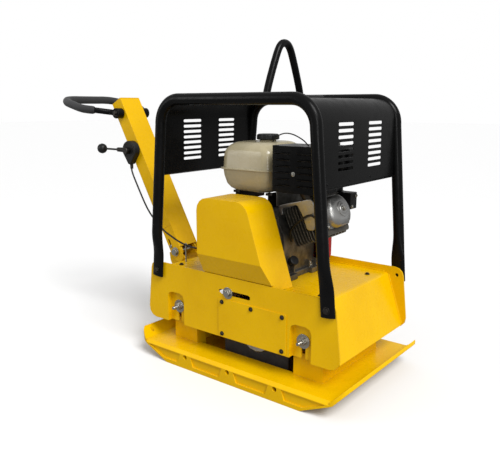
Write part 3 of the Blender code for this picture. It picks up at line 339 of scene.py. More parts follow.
def added(name, data):
    """A new object, linked to the scene."""
    item = bpy.data.objects.new(name, data)
    bpy.context.scene.collection.objects.link(item)
    return item


def shading_group(limit):
    """Shades faces smooth and keeps every edge sharper than the limit crisp."""
    group = bpy.data.node_groups.new("shade_by_angle", "GeometryNodeTree")
    for direction in ("INPUT", "OUTPUT"):
        group.interface.new_socket("Geometry", in_out=direction, socket_type="NodeSocketGeometry")
    make = group.nodes.new
    entry, leave = make("NodeGroupInput"), make("NodeGroupOutput")
    faces, edges = make("GeometryNodeSetShadeSmooth"), make("GeometryNodeSetShadeSmooth")
    faces.domain, edges.domain = "FACE", "EDGE"
    angle, sharp = make("GeometryNodeInputMeshEdgeAngle"), make("FunctionNodeCompare")
    sharp.inputs["B"].default_value = limit
    edges.inputs["Shade Smooth"].default_value = False
    group.links.new(entry.outputs[0], faces.inputs["Geometry"])
    group.links.new(angle.outputs["Unsigned Angle"], sharp.inputs["A"])
    group.links.new(faces.outputs["Geometry"], edges.inputs["Geometry"])
    group.links.new(sharp.outputs["Result"], edges.inputs["Selection"])
    group.links.new(edges.outputs["Geometry"], leave.inputs[0])
    return group


SHADING = shading_group(SHARP_ANGLE)
FOLD_SHADING = shading_group(FOLD_ANGLE)


def soften(item, width, folded=False):
    """Rounds an object's sharp edges and evens its shading."""
    if width:
        edges = item.modifiers.new("edges", "BEVEL")
        edges.width = width
        edges.segments = 2
        edges.limit_method = "ANGLE"
        edges.angle_limit = FOLD_ANGLE if folded else SHARP_ANGLE
        edges.miter_outer = "MITER_ARC"
    shade = item.modifiers.new("shade", "NODES")
    shade.node_group = FOLD_SHADING if folded else SHADING
    if width:
        even = item.modifiers.new("even", "WEIGHTED_NORMAL")
        even.keep_sharp = True


def dress(material, *names, width=EDGE, folded=False):
    """Gives CAD nodes their finish and rounded edges."""
    for name in names:
        item = NODES[name]
        item.data.materials.clear()
        item.data.materials.append(material)
        close = item.modifiers.new("close", "WELD")
        close.merge_threshold = 1e-5
        if width:
            flat = item.modifiers.new("flat", "DECIMATE")
            flat.decimate_type = "DISSOLVE"
            flat.angle_limit = math.radians(0.6)
        soften(item, width, folded=folded)


def carve(item, *shapes):
    """Cuts shapes out of an object and keeps the result as its mesh."""
    helpers = []
    for shape in shapes:
        helper = added("carver", mesh_of("carver", shape))
        helper.matrix_world = item.matrix_world
        step = item.modifiers.new("carve", "BOOLEAN")
        step.operation = "DIFFERENCE"
        step.solver = "EXACT"
        step.object = helper
        helpers.append(helper)
    bpy.context.view_layer.update()
    graph = bpy.context.evaluated_depsgraph_get()
    result = bpy.data.meshes.new_from_object(item.evaluated_get(graph))
    item.modifiers.clear()
    old = item.data
    item.data = result
    bpy.data.meshes.remove(old)
    for helper in helpers:
        mesh = helper.data
        bpy.data.objects.remove(helper)
        bpy.data.meshes.remove(mesh)


def piece(name, shape, material, body="chassis", at=(0, 0, 0), width=0.0, carved=(),
          stands_for=None):
    """A visible piece that rides on a CAD body."""
    item = added(name, mesh_of(name, shape))
    item.location = at
    item.data.materials.append(material)
    bpy.context.view_layer.update()
    if carved:
        carve(item, *carved)
    soften(item, width)
    if body:
        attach(item, body)
    if stands_for:
        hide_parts(stands_for)
    return item


# Materials


def shader_material(name):
    material = bpy.data.materials.new(name)
    material.use_nodes = True
    tree = material.node_tree
    return material, tree, tree.nodes["Principled BSDF"]


def feed(tree, node, inputs):
    """Links sockets to a node's inputs, and sets plain values on them."""
    for key, value in inputs.items():
        if isinstance(value, bpy.types.NodeSocket):
            tree.links.new(value, node.inputs[key])
        else:
            node.inputs[key].default_value = value


def add_node(tree, kind, inputs, **settings):
    node = tree.nodes.new("ShaderNode" + kind)
    for name, value in settings.items():
        setattr(node, name, value)
    feed(tree, node, inputs)
    return node


def object_noise(tree, scale, detail=4.0, roughness=0.55, stretch=(1, 1, 1)):
    """Noise fixed to the object."""
    place = add_node(tree, "TexCoord", {})
    spread = add_node(tree, "Mapping", {"Vector": place.outputs["Object"], "Scale": stretch})
    noise = add_node(tree, "TexNoise", {"Vector": spread.outputs["Vector"], "Scale": scale, "Detail": detail,
                                        "Roughness": roughness})
    return noise.outputs["Fac"]


def ranged(tree, value, low, high, to_low=0.0, to_high=1.0):
    limits = {"From Min": low, "From Max": high, "To Min": to_low, "To Max": to_high}
    return add_node(tree, "MapRange", {"Value": value, **limits}).outputs["Result"]


def patches(tree, scale, detail, low, high, to_low=0.0, to_high=1.0, **look):
    """Soft patches: noise stretched from one range to another."""
    return ranged(tree, object_noise(tree, scale, detail, **look), low, high, to_low, to_high)


def math_node(tree, operation, first, second):
    return add_node(tree, "Math", {0: first, 1: second}, operation=operation).outputs[0]


def mixed(tree, share, first, second):
    """Colour between two, by a share."""
    first, second = [(*end, 1.0) if isinstance(end, tuple) else end for end in (first, second)]
    node = add_node(tree, "Mix", {"Factor": share, MIX_A: first, MIX_B: second}, data_type="RGBA")
    return node.outputs[MIX_RESULT]


def edge_share(tree, radius, low, high):
    """How near the surface is to an outer or inner edge, broken up by noise."""
    bevel = add_node(tree, "Bevel", {"Radius": radius}, samples=BEVEL_SAMPLES)
    normals = {0: bevel.outputs["Normal"], 1: add_node(tree, "NewGeometry", {}).outputs["Normal"]}
    dot = add_node(tree, "VectorMath", normals, operation="DOT_PRODUCT")
    bend = math_node(tree, "SUBTRACT", 1.0, dot.outputs["Value"])
    broken = math_node(tree, "MULTIPLY", bend, patches(tree, 70, 3, 0.35, 0.65))
    return ranged(tree, broken, low, high)


def bumped(tree, shader, height, strength, distance):
    """Fine relief over a normal that is rounded at edges."""
    edge = add_node(tree, "Bevel", {"Radius": EDGE}, samples=BEVEL_SAMPLES)
    relief = add_node(tree, "Bump",
                      {"Normal": edge.outputs["Normal"], "Strength": strength, "Distance": distance,
                                     "Height": height})
    feed(tree, shader, {"Normal": relief.outputs["Normal"]})


def painted(name, colour, deep, gloss, edge_shade_highlight_strength, peel=0.12, edge_shade_highlight_colour=(0.16, 0.13, 0.10), coat=0.0, specular=0.3):
    """Sprayed paint: slow tone drift, orange peel, fine dust on top, and a colour at outer and inner edges
    that is painted shade where it is darker than the paint, painted highlight where it is lighter, over some
    scuffing.
    """
    material, tree, shader = shader_material(name)
    tone = mixed(tree, patches(tree, 5, 3, 0.35, 0.65), deep, colour)
    smudge = patches(tree, 9, 3, 0.55, 0.85, 0.0, 0.20)
    tone = mixed(tree, smudge, tone, tuple(0.80 * c for c in deep))
    # Edge and crease mask: painted shade with a darker edge colour, painted highlight with a lighter one,
    # plus some scuffing.
    edge_shade_highlight_scuff = math_node(tree, "MULTIPLY", edge_share(tree, 0.0022, 0.05, 0.16), edge_shade_highlight_strength)
    feed(tree, shader, {"Base Color": mixed(tree, edge_shade_highlight_scuff, tone, edge_shade_highlight_colour),
                        "Roughness": patches(tree, 38, 5, 0.3, 0.7, gloss - 0.06, gloss + 0.12),
                        "Specular IOR Level": specular, "Coat Weight": coat, "Coat Roughness": 0.12})
    bumped(tree, shader, object_noise(tree, 420, 2), peel, 0.0006)
    return material


def bare_metal(name, colour, dark, gloss, grain=(1, 1, 1), scale=160, strength=0.2, metallic=1.0, stain=0.5):
    """Plated, machined or cast metal with stains in random patches."""
    material, tree, shader = shader_material(name)
    patch = patches(tree, 30, 6, 0.40, 0.72, 0.0, stain, roughness=0.65)
    feed(tree, shader, {"Base Color": mixed(tree, patch, colour, dark), "Metallic": metallic,
                        "Roughness": patches(tree, 60, 5, 0.3, 0.7, gloss - 0.08, gloss + 0.14,
                                             stretch=grain)})
    bumped(tree, shader, object_noise(tree, scale, 4, stretch=grain), strength, 0.0006)
    return material


def moulded(name, colour, light, gloss, scale=700, strength=0.25, specular=0.5):
    """Textured plastic or rubber with a dusty bloom."""
    material, tree, shader = shader_material(name)
    feed(tree, shader, {"Base Color": mixed(tree, patches(tree, 14, 5, 0.42, 0.72), colour, light),
                        "Roughness": patches(tree, 45, 4, 0.3, 0.7, gloss - 0.08, gloss + 0.1),
                        "Specular IOR Level": specular})
    bumped(tree, shader, object_noise(tree, scale, 2), strength, 0.0005)
    return material


def foam_material():
    """Closed-cell foam: small pores over a soft matt skin."""
    material, tree, shader = shader_material("grip_foam")
    place = add_node(tree, "TexCoord", {})
    cells = add_node(tree, "TexVoronoi", {"Vector": place.outputs["Object"], "Scale": 520})
    pores = ranged(tree, cells.outputs["Distance"], 0.05, 0.45)
    feed(tree, shader, {"Base Color": mixed(tree, pores, (0.006, 0.006, 0.006), (0.022, 0.022, 0.023)),
                        "Roughness": 0.85, "Sheen Weight": 0.15})
    bumped(tree, shader, pores, 0.5, 0.0008)
    return material


# Edge colours: darker ones paint shade at edges and creases, lighter ones paint highlights there, over some
# scuffing.
YELLOW = painted("yellow_enamel", (0.83, 0.49, 0.0), (0.77, 0.44, 0.0), 0.26, 0.30, specular=0.20)
BLACK = painted("black_powder_coat", (0.0045, 0.0045, 0.0047), (0.0030, 0.0030, 0.0030), 0.24, 0.30,
                peel=0.05,
                edge_shade_highlight_colour=(0.04, 0.04, 0.04), specular=0.12)
TANK = painted("tank_enamel", (0.45, 0.395, 0.255), (0.41, 0.355, 0.225), 0.22, 0.15, edge_shade_highlight_colour=(0.35, 0.32, 0.26),
               coat=0.3)
RED = painted("red_enamel", (0.42, 0.012, 0.008), (0.30, 0.008, 0.006), 0.28, 0.2, edge_shade_highlight_colour=(0.12, 0.05, 0.04))
# Fins: the near-black base is painted shade between the fins, and the light edge colour is a painted
# highlight on the fin edges.
FINS = painted("fins_painted_shade_highlight", (0.055, 0.050, 0.040), (0.030, 0.026, 0.020), 0.46, 0.95, peel=0.4,
               edge_shade_highlight_colour=(0.36, 0.33, 0.27), specular=0.4)
ZINC = bare_metal("zinc_plate", (0.46, 0.45, 0.41), (0.24, 0.22, 0.18), 0.26, strength=0.08)
DARK_BOLT = bare_metal("dark_bolt_steel", (0.060, 0.056, 0.052), (0.025, 0.020, 0.018), 0.38, strength=0.1)
HOT_STEEL = bare_metal("heat_darkened_steel", (0.060, 0.054, 0.047), (0.07, 0.038, 0.022), 0.5, strength=0.25)
MACHINED = bare_metal("machined_steel", (0.50, 0.49, 0.47), (0.30, 0.28, 0.25), 0.24, grain=(1, 14, 1),
                      strength=0.12)
CAST_IRON = bare_metal("cast_iron", (0.13, 0.12, 0.11), (0.07, 0.047, 0.035), 0.58, scale=240, strength=0.5,
                       metallic=0.7)
CAST_ALUMINIUM = bare_metal("cast_aluminium", (0.20, 0.19, 0.17), (0.045, 0.040, 0.030), 0.42, scale=380,
                            strength=0.3, metallic=0.85, stain=0.85)
HEAD_ALUMINIUM = bare_metal("head_aluminium", (0.40, 0.40, 0.39), (0.22, 0.20, 0.17), 0.32, scale=300,
                            strength=0.15,
                            metallic=0.85, stain=0.4)
PLASTIC = moulded("black_plastic", (0.007, 0.007, 0.007), (0.014, 0.014, 0.014), 0.40, specular=0.3)
RUBBER = moulded("rubber", (0.014, 0.014, 0.014), (0.035, 0.034, 0.032), 0.72, scale=500, specular=0.3)
FOAM = foam_material()
CERAMIC = moulded("spark_plug_ceramic", (0.75, 0.74, 0.70), (0.62, 0.60, 0.55), 0.25, strength=0.02)
CORD_WEAVE = moulded("starter_cord", (0.16, 0.15, 0.13), (0.26, 0.25, 0.22), 0.8, scale=1100, strength=0.6)


# Camera, floor and light


def aim(item, way):
    item.rotation_euler = Vector(way).to_track_quat("-Z", "Y").to_euler()


def camera():
    data = bpy.data.cameras.new("camera")
    data.sensor_width = 36.0
    data.lens = LENS
    data.shift_x, data.shift_y = LENS_SHIFT
    item = added("camera", data)
    item.location = CAMERA_AT
    level = math.cos(CAMERA_PITCH)
    aim(item, (math.cos(CAMERA_YAW) * level, math.sin(CAMERA_YAW) * level, -math.sin(CAMERA_PITCH)))
    bpy.context.scene.camera = item


def area_light(name, at, power):
    data = bpy.data.lights.new(name, "AREA")
    data.shape = "RECTANGLE"
    data.size, data.size_y = BOX_SIZE
    data.energy = power
    item = added(name, data)
    item.location = at
    aim(item, Vector(BOX_TARGET) - Vector(at))


def split_by_ray(tree, lit, seen, output):
    """Lights the object with one shader, and shows another one behind it."""
    rays = add_node(tree, "LightPath", {})
    pick = add_node(tree, "MixShader",
                    {0: rays.outputs["Is Camera Ray"], 1: lit.outputs[0], 2: seen.outputs[0]})
    feed(tree, tree.nodes[output], {"Surface": pick.outputs[0]})


def floor():
    """A wide floor that looks white and throws little light back up."""
    mesh = bpy.data.meshes.new("floor")
    corners = [(x * FLOOR_REACH, y * FLOOR_REACH, FLOOR_Z) for x, y in ((-1, -1), (1, -1), (1, 1), (-1, 1))]
    mesh.from_pydata(corners, [], [(0, 1, 2, 3)])
    material, tree, shader = shader_material("floor")
    feed(tree, shader, {"Base Color": (0.87, 0.87, 0.87, 1.0), "Roughness": 0.9, "Specular IOR Level": 0.1})
    bounce = add_node(tree, "BsdfDiffuse", {"Color": FLOOR_BOUNCE})
    split_by_ray(tree, bounce, shader, "Material Output")
    mesh.materials.append(material)
    added("floor", mesh)


def studio():
    floor()
    world = bpy.data.worlds.new("studio")
    world.use_nodes = True
    tree = world.node_tree
    back = tree.nodes["Background"]
    feed(tree, back, {"Color": WHITE, "Strength": WORLD_LIGHT})
    split_by_ray(tree, back, add_node(tree, "Background", {"Color": WHITE}), "World Output")
    bpy.context.scene.world = world
    bpy.context.scene.view_settings.view_transform = "Standard"
    data = bpy.data.lights.new("key", "SUN")
    data.energy = SUN_POWER
    data.angle = SUN_WIDTH
    aim(added("key", data), SUN_WAY)
    area_light("front_box", (2.6, -2.2, 1.5), 24)
    area_light("left_box", (-2.2, -2.4, 1.6), 14)


# Base


def base():
    dress(YELLOW, "base_plate", width=0.0)
    dress(CAST_IRON, "exciter_housing", "exciter_cover_right", "exciter_cover_left", width=0.002)
    dress(MACHINED, "bearing_front_right", "bearing_front_left", "bearing_rear_right", "bearing_rear_left",
          "eccentric_shaft_front", "eccentric_shaft_rear", "sync_gear_front", "sync_gear_rear", width=0.0005)
    beads = []
    for end, x in zip((-1, 1), MOUNT_X):
        face = x + end * POST_HALF_WIDTH
        z = PLATE_FLOOR_Z + 0.001
        beads.append(weld_bead((face, -POST_OUTER_Y, z), (face, POST_OUTER_Y, z)))
        for sign in (-1, 1):
            y = sign * POST_OUTER_Y
            beads.append(weld_bead((x - POST_HALF_WIDTH, y, z), (x + POST_HALF_WIDTH, y, z)))
            for edge in (-1, 1):
                at = x + edge * (POST_HALF_WIDTH - 0.002)
                beads.append(weld_bead((at, sign * POST_INNER_Y, 0.150),
                                       (at, sign * (POST_INNER_Y + 0.012), 0.150), 0.002))
            beads.append(weld_bead((x - POST_HALF_WIDTH + 0.004, sign * (POST_INNER_Y + 0.0125), 0.1485),
                                   (x + POST_HALF_WIDTH - 0.004, sign * (POST_INNER_Y + 0.0125), 0.1485),
                                   0.0024))
    piece("base_weld_beads", joined(*beads), YELLOW, "base")
    heads = []
    for sign in (-1, 1):
        y = sign * 0.1373
        for z in (0.117, 0.243):
            heads += [bolt((x, y, z), (0, sign, 0), 0.0075) for x in (-0.128, 0, 0.128)]
    for x in (-0.105, 0.105):
        for y in (-0.09, 0.09):
            heads.append(bolt((x, y, 0.2583), (0, 0, 1), 0.008))
    piece("exciter_bolts", joined(*heads), DARK_BOLT, "base", width=BOLT_EDGE)
    for sign, side in ((-1, "right"), (1, "left")):
        for x, end in zip(MOUNT_X, ("rear", "front")):
            rubber_mount(x, sign, side, end)
            mount_stud(x, sign, side, end)


def rubber_mount(x, sign, side, end):
    """Waisted rubber buffer between two bonded end discs, all drawn in rubber."""
    outer, inner = POCKET_FLOOR_Y - 0.0063, POST_INNER_Y + 0.0123
    profile = [(outer, 0.0335), (outer - 0.0025, 0.034)]
    for i in range(9):
        share = i / 8
        depth = outer - 0.004 + (inner + 0.004 - outer + 0.004) * share
        profile.append((depth, 0.0332 - 0.0042 * math.sin(math.pi * share)))
    profile += [(inner + 0.0025, 0.034), (inner, 0.0335), (inner, 0.0065), (POST_INNER_Y - 0.012, 0.0065)]
    shape = turned([(sign * depth, radius) for depth, radius in profile])
    node = f"rubber_mount_{side}_{end}"
    piece(f"buffer_{side}_{end}", shape, RUBBER, "base", at=(x, 0, MOUNT_Z), stands_for=node)


def mount_stud(x, sign, side, end):
    """Large washer, spring washer, hex nut and the stud's threaded end."""
    face = POCKET_FLOOR_Y + GAP
    washer = turned([(0, 0.0240), (0.0005, 0.0245), (0.0026, 0.0245), (0.0031, 0.0240)], axis="Z",
                    sides=ROUND)
    spring = turned([(0.0032, 0.0138), (0.0058, 0.0142)], axis="Z", sides=SMALL_ROUND)
    nut = turned([(0.0060, 0.0122), (0.0066, 0.0128), (0.0156, 0.0128), (0.0166, 0.0112)], axis="Z", sides=6)
    shape = joined(washer, spring, nut, threaded(0.0066, 0.0160, 0.0355))
    placed(shape, facing((x, sign * face, MOUNT_Z), (0, sign, 0)))
    node = f"mount_stud_{side}_{end}"
    piece(f"stud_nut_{side}_{end}", shape, ZINC, width=BOLT_EDGE, stands_for=node)


# Chassis


def chassis():
    dress(YELLOW, "side_plate_right", "side_plate_left", "deck_tray", "rear_plate", "access_cover",
          "handle_bracket", width=0.0010)
    dress(YELLOW, "belt_guard", width=0.0018, folded=True)
    dress(RUBBER, "handle_stop", width=0.0008)
    heads = [bolt((x, sign * (SIDE_Y + 0.0150), FOOT_BOLT_Z), (0, sign, 0), 0.0095, 1.25)
             for sign in (-1, 1) for x in (-FOOT_X, FOOT_X)]
    piece("hoop_foot_bolts", joined(*heads), DARK_BOLT, width=BOLT_EDGE)
    cover_y = -SIDE_Y - 0.0034
    heads = [bolt((x, cover_y, z), (0, -1, 0), 0.0062, 1.3)
             for x, z in ((-0.056, 0.276), (0.070, 0.276), (0.196, 0.276), (-0.056, 0.160), (0.196, 0.160))]
    piece("access_cover_bolts", joined(*heads), DARK_BOLT, width=SMALL_BOLT_EDGE)
    heads = [bolt((0.174, -0.206, 0.3498), (0, 0, 1), 0.0065, 1.4)]
    heads += [bolt((x, y, 0.3452), (0, 0, 1), 0.0065, 1.4) for x in (0.285, -0.33) for y in (-0.16, 0.16)]
    heads += [bolt((-0.398, y, 0.300), (-0.98, 0, 0.2), 0.0065, 1.4) for y in (-0.18, 0.18)]
    piece("deck_bolts", joined(*heads), DARK_BOLT, width=SMALL_BOLT_EDGE)
    beads = []
    for sign in (-1, 1):
        y = sign * 0.2352
        beads.append(weld_bead((-0.360, y, 0.3465), (0.316, y, 0.3465), 0.0022))
        beads.append(weld_bead((0.333, y, 0.338), (0.394, y, 0.160), 0.0022))
    piece("chassis_weld_beads", joined(*beads), YELLOW)
    idler = joined(bolt((-0.032, -SIDE_Y - GAP, 0.311), (0, -1, 0), 0.0125, 1.68, 0.8),
                   turned([(-0.242, 0.0075), (-0.176, 0.0075)], (-0.032, 0, 0.311)))
    piece("idler_bolt_detail", idler, ZINC, width=BOLT_EDGE, stands_for="idler_bolt")
    reach = 0.0556
    ends = [bolt((0, sign * reach, 0), (0, sign, 0), 0.0150, 1.25, 0.62) for sign in (-1, 1)]
    pivot = joined(turned([(-reach, 0.0099), (reach, 0.0099)]), *ends)
    piece("pivot_bolt_detail", pivot, ZINC, at=PIVOT, width=BOLT_EDGE,
          stands_for="handle_pivot_bolt")


def drive_belt():
    """The belt's own copy in rubber, with its placement baked into its mesh."""
    belt = added("flexing_drive_belt", NODES["drive_belt"].data.copy())
    belt.data.materials.clear()
    belt.data.materials.append(RUBBER)
    soften(belt, 0.0)
    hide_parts("drive_belt")
    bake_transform(belt)


def hoop_route():
    lean = (FOOT_X - HOOP_TOP_X) / (HOOP_TOP_Z - HOOP_BEND - FOOT_BOLT_Z)
    foot = FOOT_X + (FOOT_BOLT_Z - 0.315) * lean
    half = [(foot, 0.315)]
    heights = [0.325 + 0.0125 * i for i in range(19)] + [0.62, 0.70, 0.78]
    half += [(FOOT_X - (z - FOOT_BOLT_Z) * lean, z) for z in heights]
    half += arc((HOOP_TOP_X - HOOP_BEND, HOOP_TOP_Z - HOOP_BEND), HOOP_BEND, 0, 90, 18)
    return [(-x, z) for x, z in half] + [(x, z) for x, z in reversed(half)]


def cage():
    thin, wide = 0.0072, 0.0255
    flat_y = SIDE_Y + GAP + thin
    for sign, side in ((-1, "right"), (1, "left")):
        route, sections = [], []
        for x, z in hoop_route():
            share = min(1.0, max(0.0, (z - 0.389) / 0.101))
            blend = share * share * (3 - 2 * share)
            route.append(Vector((x, sign * (flat_y + (HOOP_Y - flat_y) * blend), z)))
            sections.append((thin + (HOOP_RADIUS - thin) * blend, wide + (HOOP_RADIUS - wide) * blend))
        piece(f"hoop_tube_{side}", swept(route, sections, 32), BLACK, width=0.001,
              stands_for=f"roll_hoop_{side}")
    for sign, end in ((-1, "rear"), (1, "front")):
        cage_panel(sign, end)
    at = (0.020, HOOP_TOP_Z)
    half = HOOP_Y - HOOP_RADIUS + 0.004
    loop = [(-0.104, 0.940), (-0.096, 0.985), (-0.060, 1.070), (-0.030, 1.125), (0.0, 1.139), (0.030, 1.125),
            (0.060, 1.070), (0.096, 0.985), (0.104, 0.940)]
    shapes = [turned([(-half, 0.017), (half, 0.017)], (at[0], 0, at[1])),
              rod([(at[0], y, z) for y, z in loop], 0.0125, 0.008, 24, FORWARD)]
    for sign in (-1, 1):
        ring = [(at[0] + 0.0145 * math.cos(t), sign * 0.1025 + 0.0145 * math.sin(t),
                 0.9715 + 0.001 * math.cos(2 * t))
                for t in [2 * math.pi * i / 24 for i in range(25)]]
        shapes.append(rod(ring, 0.0028, 0.003, 8, UP))
    piece("lifting_loop_tube", joined(*shapes), BLACK, stands_for="lifting_bar")


def sheet_outline(path, thick):
    """The outline of a bent sheet: one surface is the path, and it lies to the path's right."""
    points = [Vector(p) for p in path]
    under = []
    for i, point in enumerate(points):
        before = (point - points[i - 1]).normalized() if i else (points[1] - point).normalized()
        after = (points[i + 1] - point).normalized() if i < len(points) - 1 else before
        normal = Vector((before.y, -before.x)) + Vector((after.y, -after.x))
        normal.normalize()
        under.append(point + normal * thick / max(0.5, normal.dot(Vector((before.y, -before.x)))))
    return [tuple(p) for p in points] + [tuple(p) for p in reversed(under)]


def cage_panel(sign, end):
    """Bent sheet with two columns of slots, a lipped bottom edge and its rivets."""
    half = HOOP_Y - HOOP_RADIUS + 0.002
    bend, thick = 0.070, 0.002
    centre = (PANEL_X - bend, PANEL_TOP_Z - bend)
    path = [(PANEL_X + 0.012, PANEL_BOTTOM_Z - 0.004), (PANEL_X + 0.004, PANEL_BOTTOM_Z),
            *arc(centre, bend, 0, 90, 14), (PANEL_X - bend - 0.030, PANEL_TOP_Z)]
    outline = sheet_outline([(sign * x, z) for x, z in path], thick * -sign)
    slots = [prism(slot_outline((column, PANEL_SLOT_FOOT_Z + PANEL_SLOT_PITCH * row), 0.095, 0.010),
                   sign * 0.25, sign * 0.36, "X")
             for column in (-0.097, 0.097) for row in range(PANEL_SLOT_ROWS)]
    piece(f"cage_panel_{end}", prism(outline, -half, half), BLACK,
          carved=[joined(*slots)], stands_for=f"{end}_panel")
    rivets = []
    for y in (-0.205, -0.07, 0.07, 0.205):
        dome = [(0, 0.0042), (0.0008, 0.0040), (0.0017, 0.0030), (0.0021, 0.0012)]
        at = (sign * (PANEL_X + 0.0032), y, PANEL_BOTTOM_Z + 0.010)
        rivets.append(placed(turned(dome, axis="Z", sides=16), facing(at, (sign, 0, 0))))
    piece(f"panel_rivets_{end}", joined(*rivets), BLACK)


# Engine


def bank(shape):
    """Places a shape made in the inclined cylinder's frame."""
    return placed(shape, Matrix.Translation(CRANK) @ Matrix.Rotation(-BANK_ANGLE, 4, "Y"))


def engine():
    dress(CAST_ALUMINIUM, "crankcase", "carburettor", width=0.0022)
    dress(MACHINED, "crankshaft", "clutch_pulley", "exciter_pulley", "idler_pulley", width=0.0006)
    dress(ZINC, "governor_arm", width=BOLT_EDGE)
    dress(RED, "fan_shroud", width=0.003)
    dress(PLASTIC, "engine_switch", width=0.0008)
    crankcase_details()
    cylinder()
    head()
    tank()
    exhaust()
    air_cleaner()
    recoil()


def crankcase_details():
    ribs = [block((-0.088, -0.104, z), (0.078, -0.099, z + 0.004)) for z in (0.400, 0.430, 0.535, 0.562)]
    ribs += [block((x, -0.104, 0.385), (x + 0.004, -0.099, 0.570)) for x in (-0.085, -0.045, 0.035, 0.072)]
    cover = prism(rounded([(-0.092, 0.372, 0.02), (0.086, 0.372, 0.02), (0.088, 0.500, 0.03),
                           (0.038, 0.578, 0.02), (-0.064, 0.578, 0.03),
                           (-0.096, 0.516, 0.03)]), -0.1075, -0.0995)
    piece("crankcase_cover", joined(cover, *ribs), CAST_ALUMINIUM, width=0.0018)
    heads = [bolt((x, -0.1077, z), (0, -1, 0), 0.0055, 1.3)
             for x, z in ((-0.080, 0.384), (0.074, 0.384), (0.078, 0.492), (0.030, 0.567), (-0.057, 0.567),
                          (-0.085, 0.505), (-0.003, 0.384))]
    for x in (-0.100, 0.098):
        for y in (-0.078, 0.074):
            heads.append(bolt((x, y, 0.3668), (0, 0, 1), 0.0085, 1.4, stud=0.008))
    piece("crankcase_bolts", joined(*heads), ZINC, width=BOLT_EDGE)
    feet = [block((0.086, y - 0.026, 0.3458), (0.124, y + 0.026, 0.3655)) for y in (-0.072, 0.072)]
    feet += [block((0.090, y - 0.003, 0.360), (0.112, y + 0.003, 0.392))
             for y in (-0.094, -0.050, 0.050, 0.094)]
    piece("engine_feet", joined(*feet), CAST_ALUMINIUM, width=0.002)
    filler = turned([(0, 0.012), (0.018, 0.012), (0.018, 0.017), (0.028, 0.017), (0.031, 0.013)], axis="Z")
    filler = placed(filler, facing((0.100, -0.060, 0.402), (0.8, -0.25, 0.55)))
    piece("oil_filler", filler, PLASTIC, width=0.0008)


def cylinder():
    """Finned barrel and head: thin plates with rounded corners round a core."""
    shapes = [prism(rectangle((-0.058, -0.056), (0.058, 0.056), 0.014), 0.108, 0.252, "X")]
    for i in range(FIN_COUNT):
        x = 0.118 + FIN_PITCH * i
        half = BARREL_FIN_HALF if i < BARREL_FINS else HEAD_FIN_HALF
        outline = rectangle((-half, -half), (half, half - 0.004), 0.016, 6)
        shapes.append(prism(outline, x, x + FIN_THICK, "X"))
    shapes.append(prism(rectangle((-0.074, -0.070), (0.074, 0.068), 0.014), 0.2495, 0.2530, "X"))
    for y in (-0.040, -0.020, 0.0, 0.020, 0.040):
        shapes.append(block((0.196, y - 0.0015, -0.074), (0.250, y + 0.0015, -0.055)))
    # The fin material paints shade between the fins and highlights on their edges.
    piece("finned_cylinder", bank(joined(*shapes)), FINS, width=0.0005,
          stands_for="cylinder")


def head():
    """Domed valve cover with its boss, breather, spark plug and lead, and the exhaust's cast elbow."""
    flange = rounded([(-0.068, -0.052, 0.024), (0.068, -0.052, 0.024), (0.076, 0.0, 0.04),
                      (0.058, 0.058, 0.024), (-0.058, 0.058, 0.024), (-0.076, 0.0, 0.04)])
    outline = rectangle((-0.066, -0.054), (0.066, 0.054), 0.050, 12)
    levels = ((0.2605, 1.0), (0.2760, 0.98), (0.2850, 0.91), (0.2905, 0.80), (0.2935, 0.66), (0.2945, 0.52))
    dome = stacked([[(x, y * k, z * k) for y, z in outline] for x, k in levels])
    shape = joined(prism(flange, 0.2533, 0.2600, "X"), dome)
    boss = turned([(0.292, 0.027), (0.2970, 0.026), (0.2978, 0.018), (0.3000, 0.016)], axis="X")
    piece("domed_valve_cover", bank(joined(shape, boss)), HEAD_ALUMINIUM,
          width=0.0006, stands_for="valve_cover")
    heads = [bolt((0.3000, 0, 0), (1, 0, 0), 0.0075, 1.3)]
    heads += [bolt((0.2602, y, z), (1, 0, 0), 0.0050, 1.2) for y, z in ((-0.062, -0.045), (0.062, -0.045),
                                                                     (-0.056, 0.050), (0.056, 0.050))]
    piece("head_bolts", bank(joined(*heads)), ZINC, width=BOLT_EDGE)
    elbow = smooth_route([(0.218, -0.055, 0.055), (0.219, -0.058, 0.080), (0.214, -0.060, 0.105),
                          (0.206, -0.060, 0.130)], 0.006)
    piece("exhaust_elbow", bank(swept(elbow, [(0.019, 0.019)] * len(elbow), 20, FORWARD)),
          HOT_STEEL)
    duct = prism(rounded([(0.190, -0.030, 0.012), (0.214, -0.038, 0.010), (0.246, -0.006, 0.014),
                          (0.250, 0.062, 0.016), (0.112, 0.086, 0.004), (0.110, 0.050, 0.004),
                          (0.119, 0.050, 0.003), (0.122, 0.072, 0.008), (0.186, 0.062, 0.012),
                          (0.192, 0.020, 0.02)]), -0.0840, -0.0768)
    piece("cylinder_duct", bank(duct), HEAD_ALUMINIUM, width=0.0028)
    plug_way = facing((0.236, -0.060, -0.036), (0.55, -0.80, -0.15))
    steel = [turned([(-0.008, 0.008), (0.0, 0.008), (0.0, 0.0115), (0.009, 0.0115), (0.012, 0.008)], axis="Z",
                    sides=6)]
    piece("spark_plug_body", bank(placed(joined(*steel), plug_way)), ZINC, width=0.0004)
    stem = turned([(0.010, 0.0065), (0.020, 0.0058), (0.026, 0.0050)], axis="Z")
    piece("spark_plug_stem", bank(placed(stem, plug_way)), CERAMIC)
    cap = turned([(0.016, 0.0095), (0.018, 0.0105), (0.040, 0.0105), (0.044, 0.0080)], axis="Z")
    piece("spark_plug_cap", bank(placed(cap, plug_way)), RUBBER, width=0.0008)
    way = plug_way @ Vector((0, 0, 0.042))
    lead = [way, way + Vector((0.004, -0.010, 0.006)), Vector((0.236, -0.098, 0.010)),
            Vector((0.190, -0.096, 0.010)),
            Vector((0.130, -0.088, -0.010)), Vector((0.105, -0.070, -0.045))]
    piece("spark_plug_lead", bank(rod(lead, 0.0036, 0.005, 12, UP)), PLASTIC)


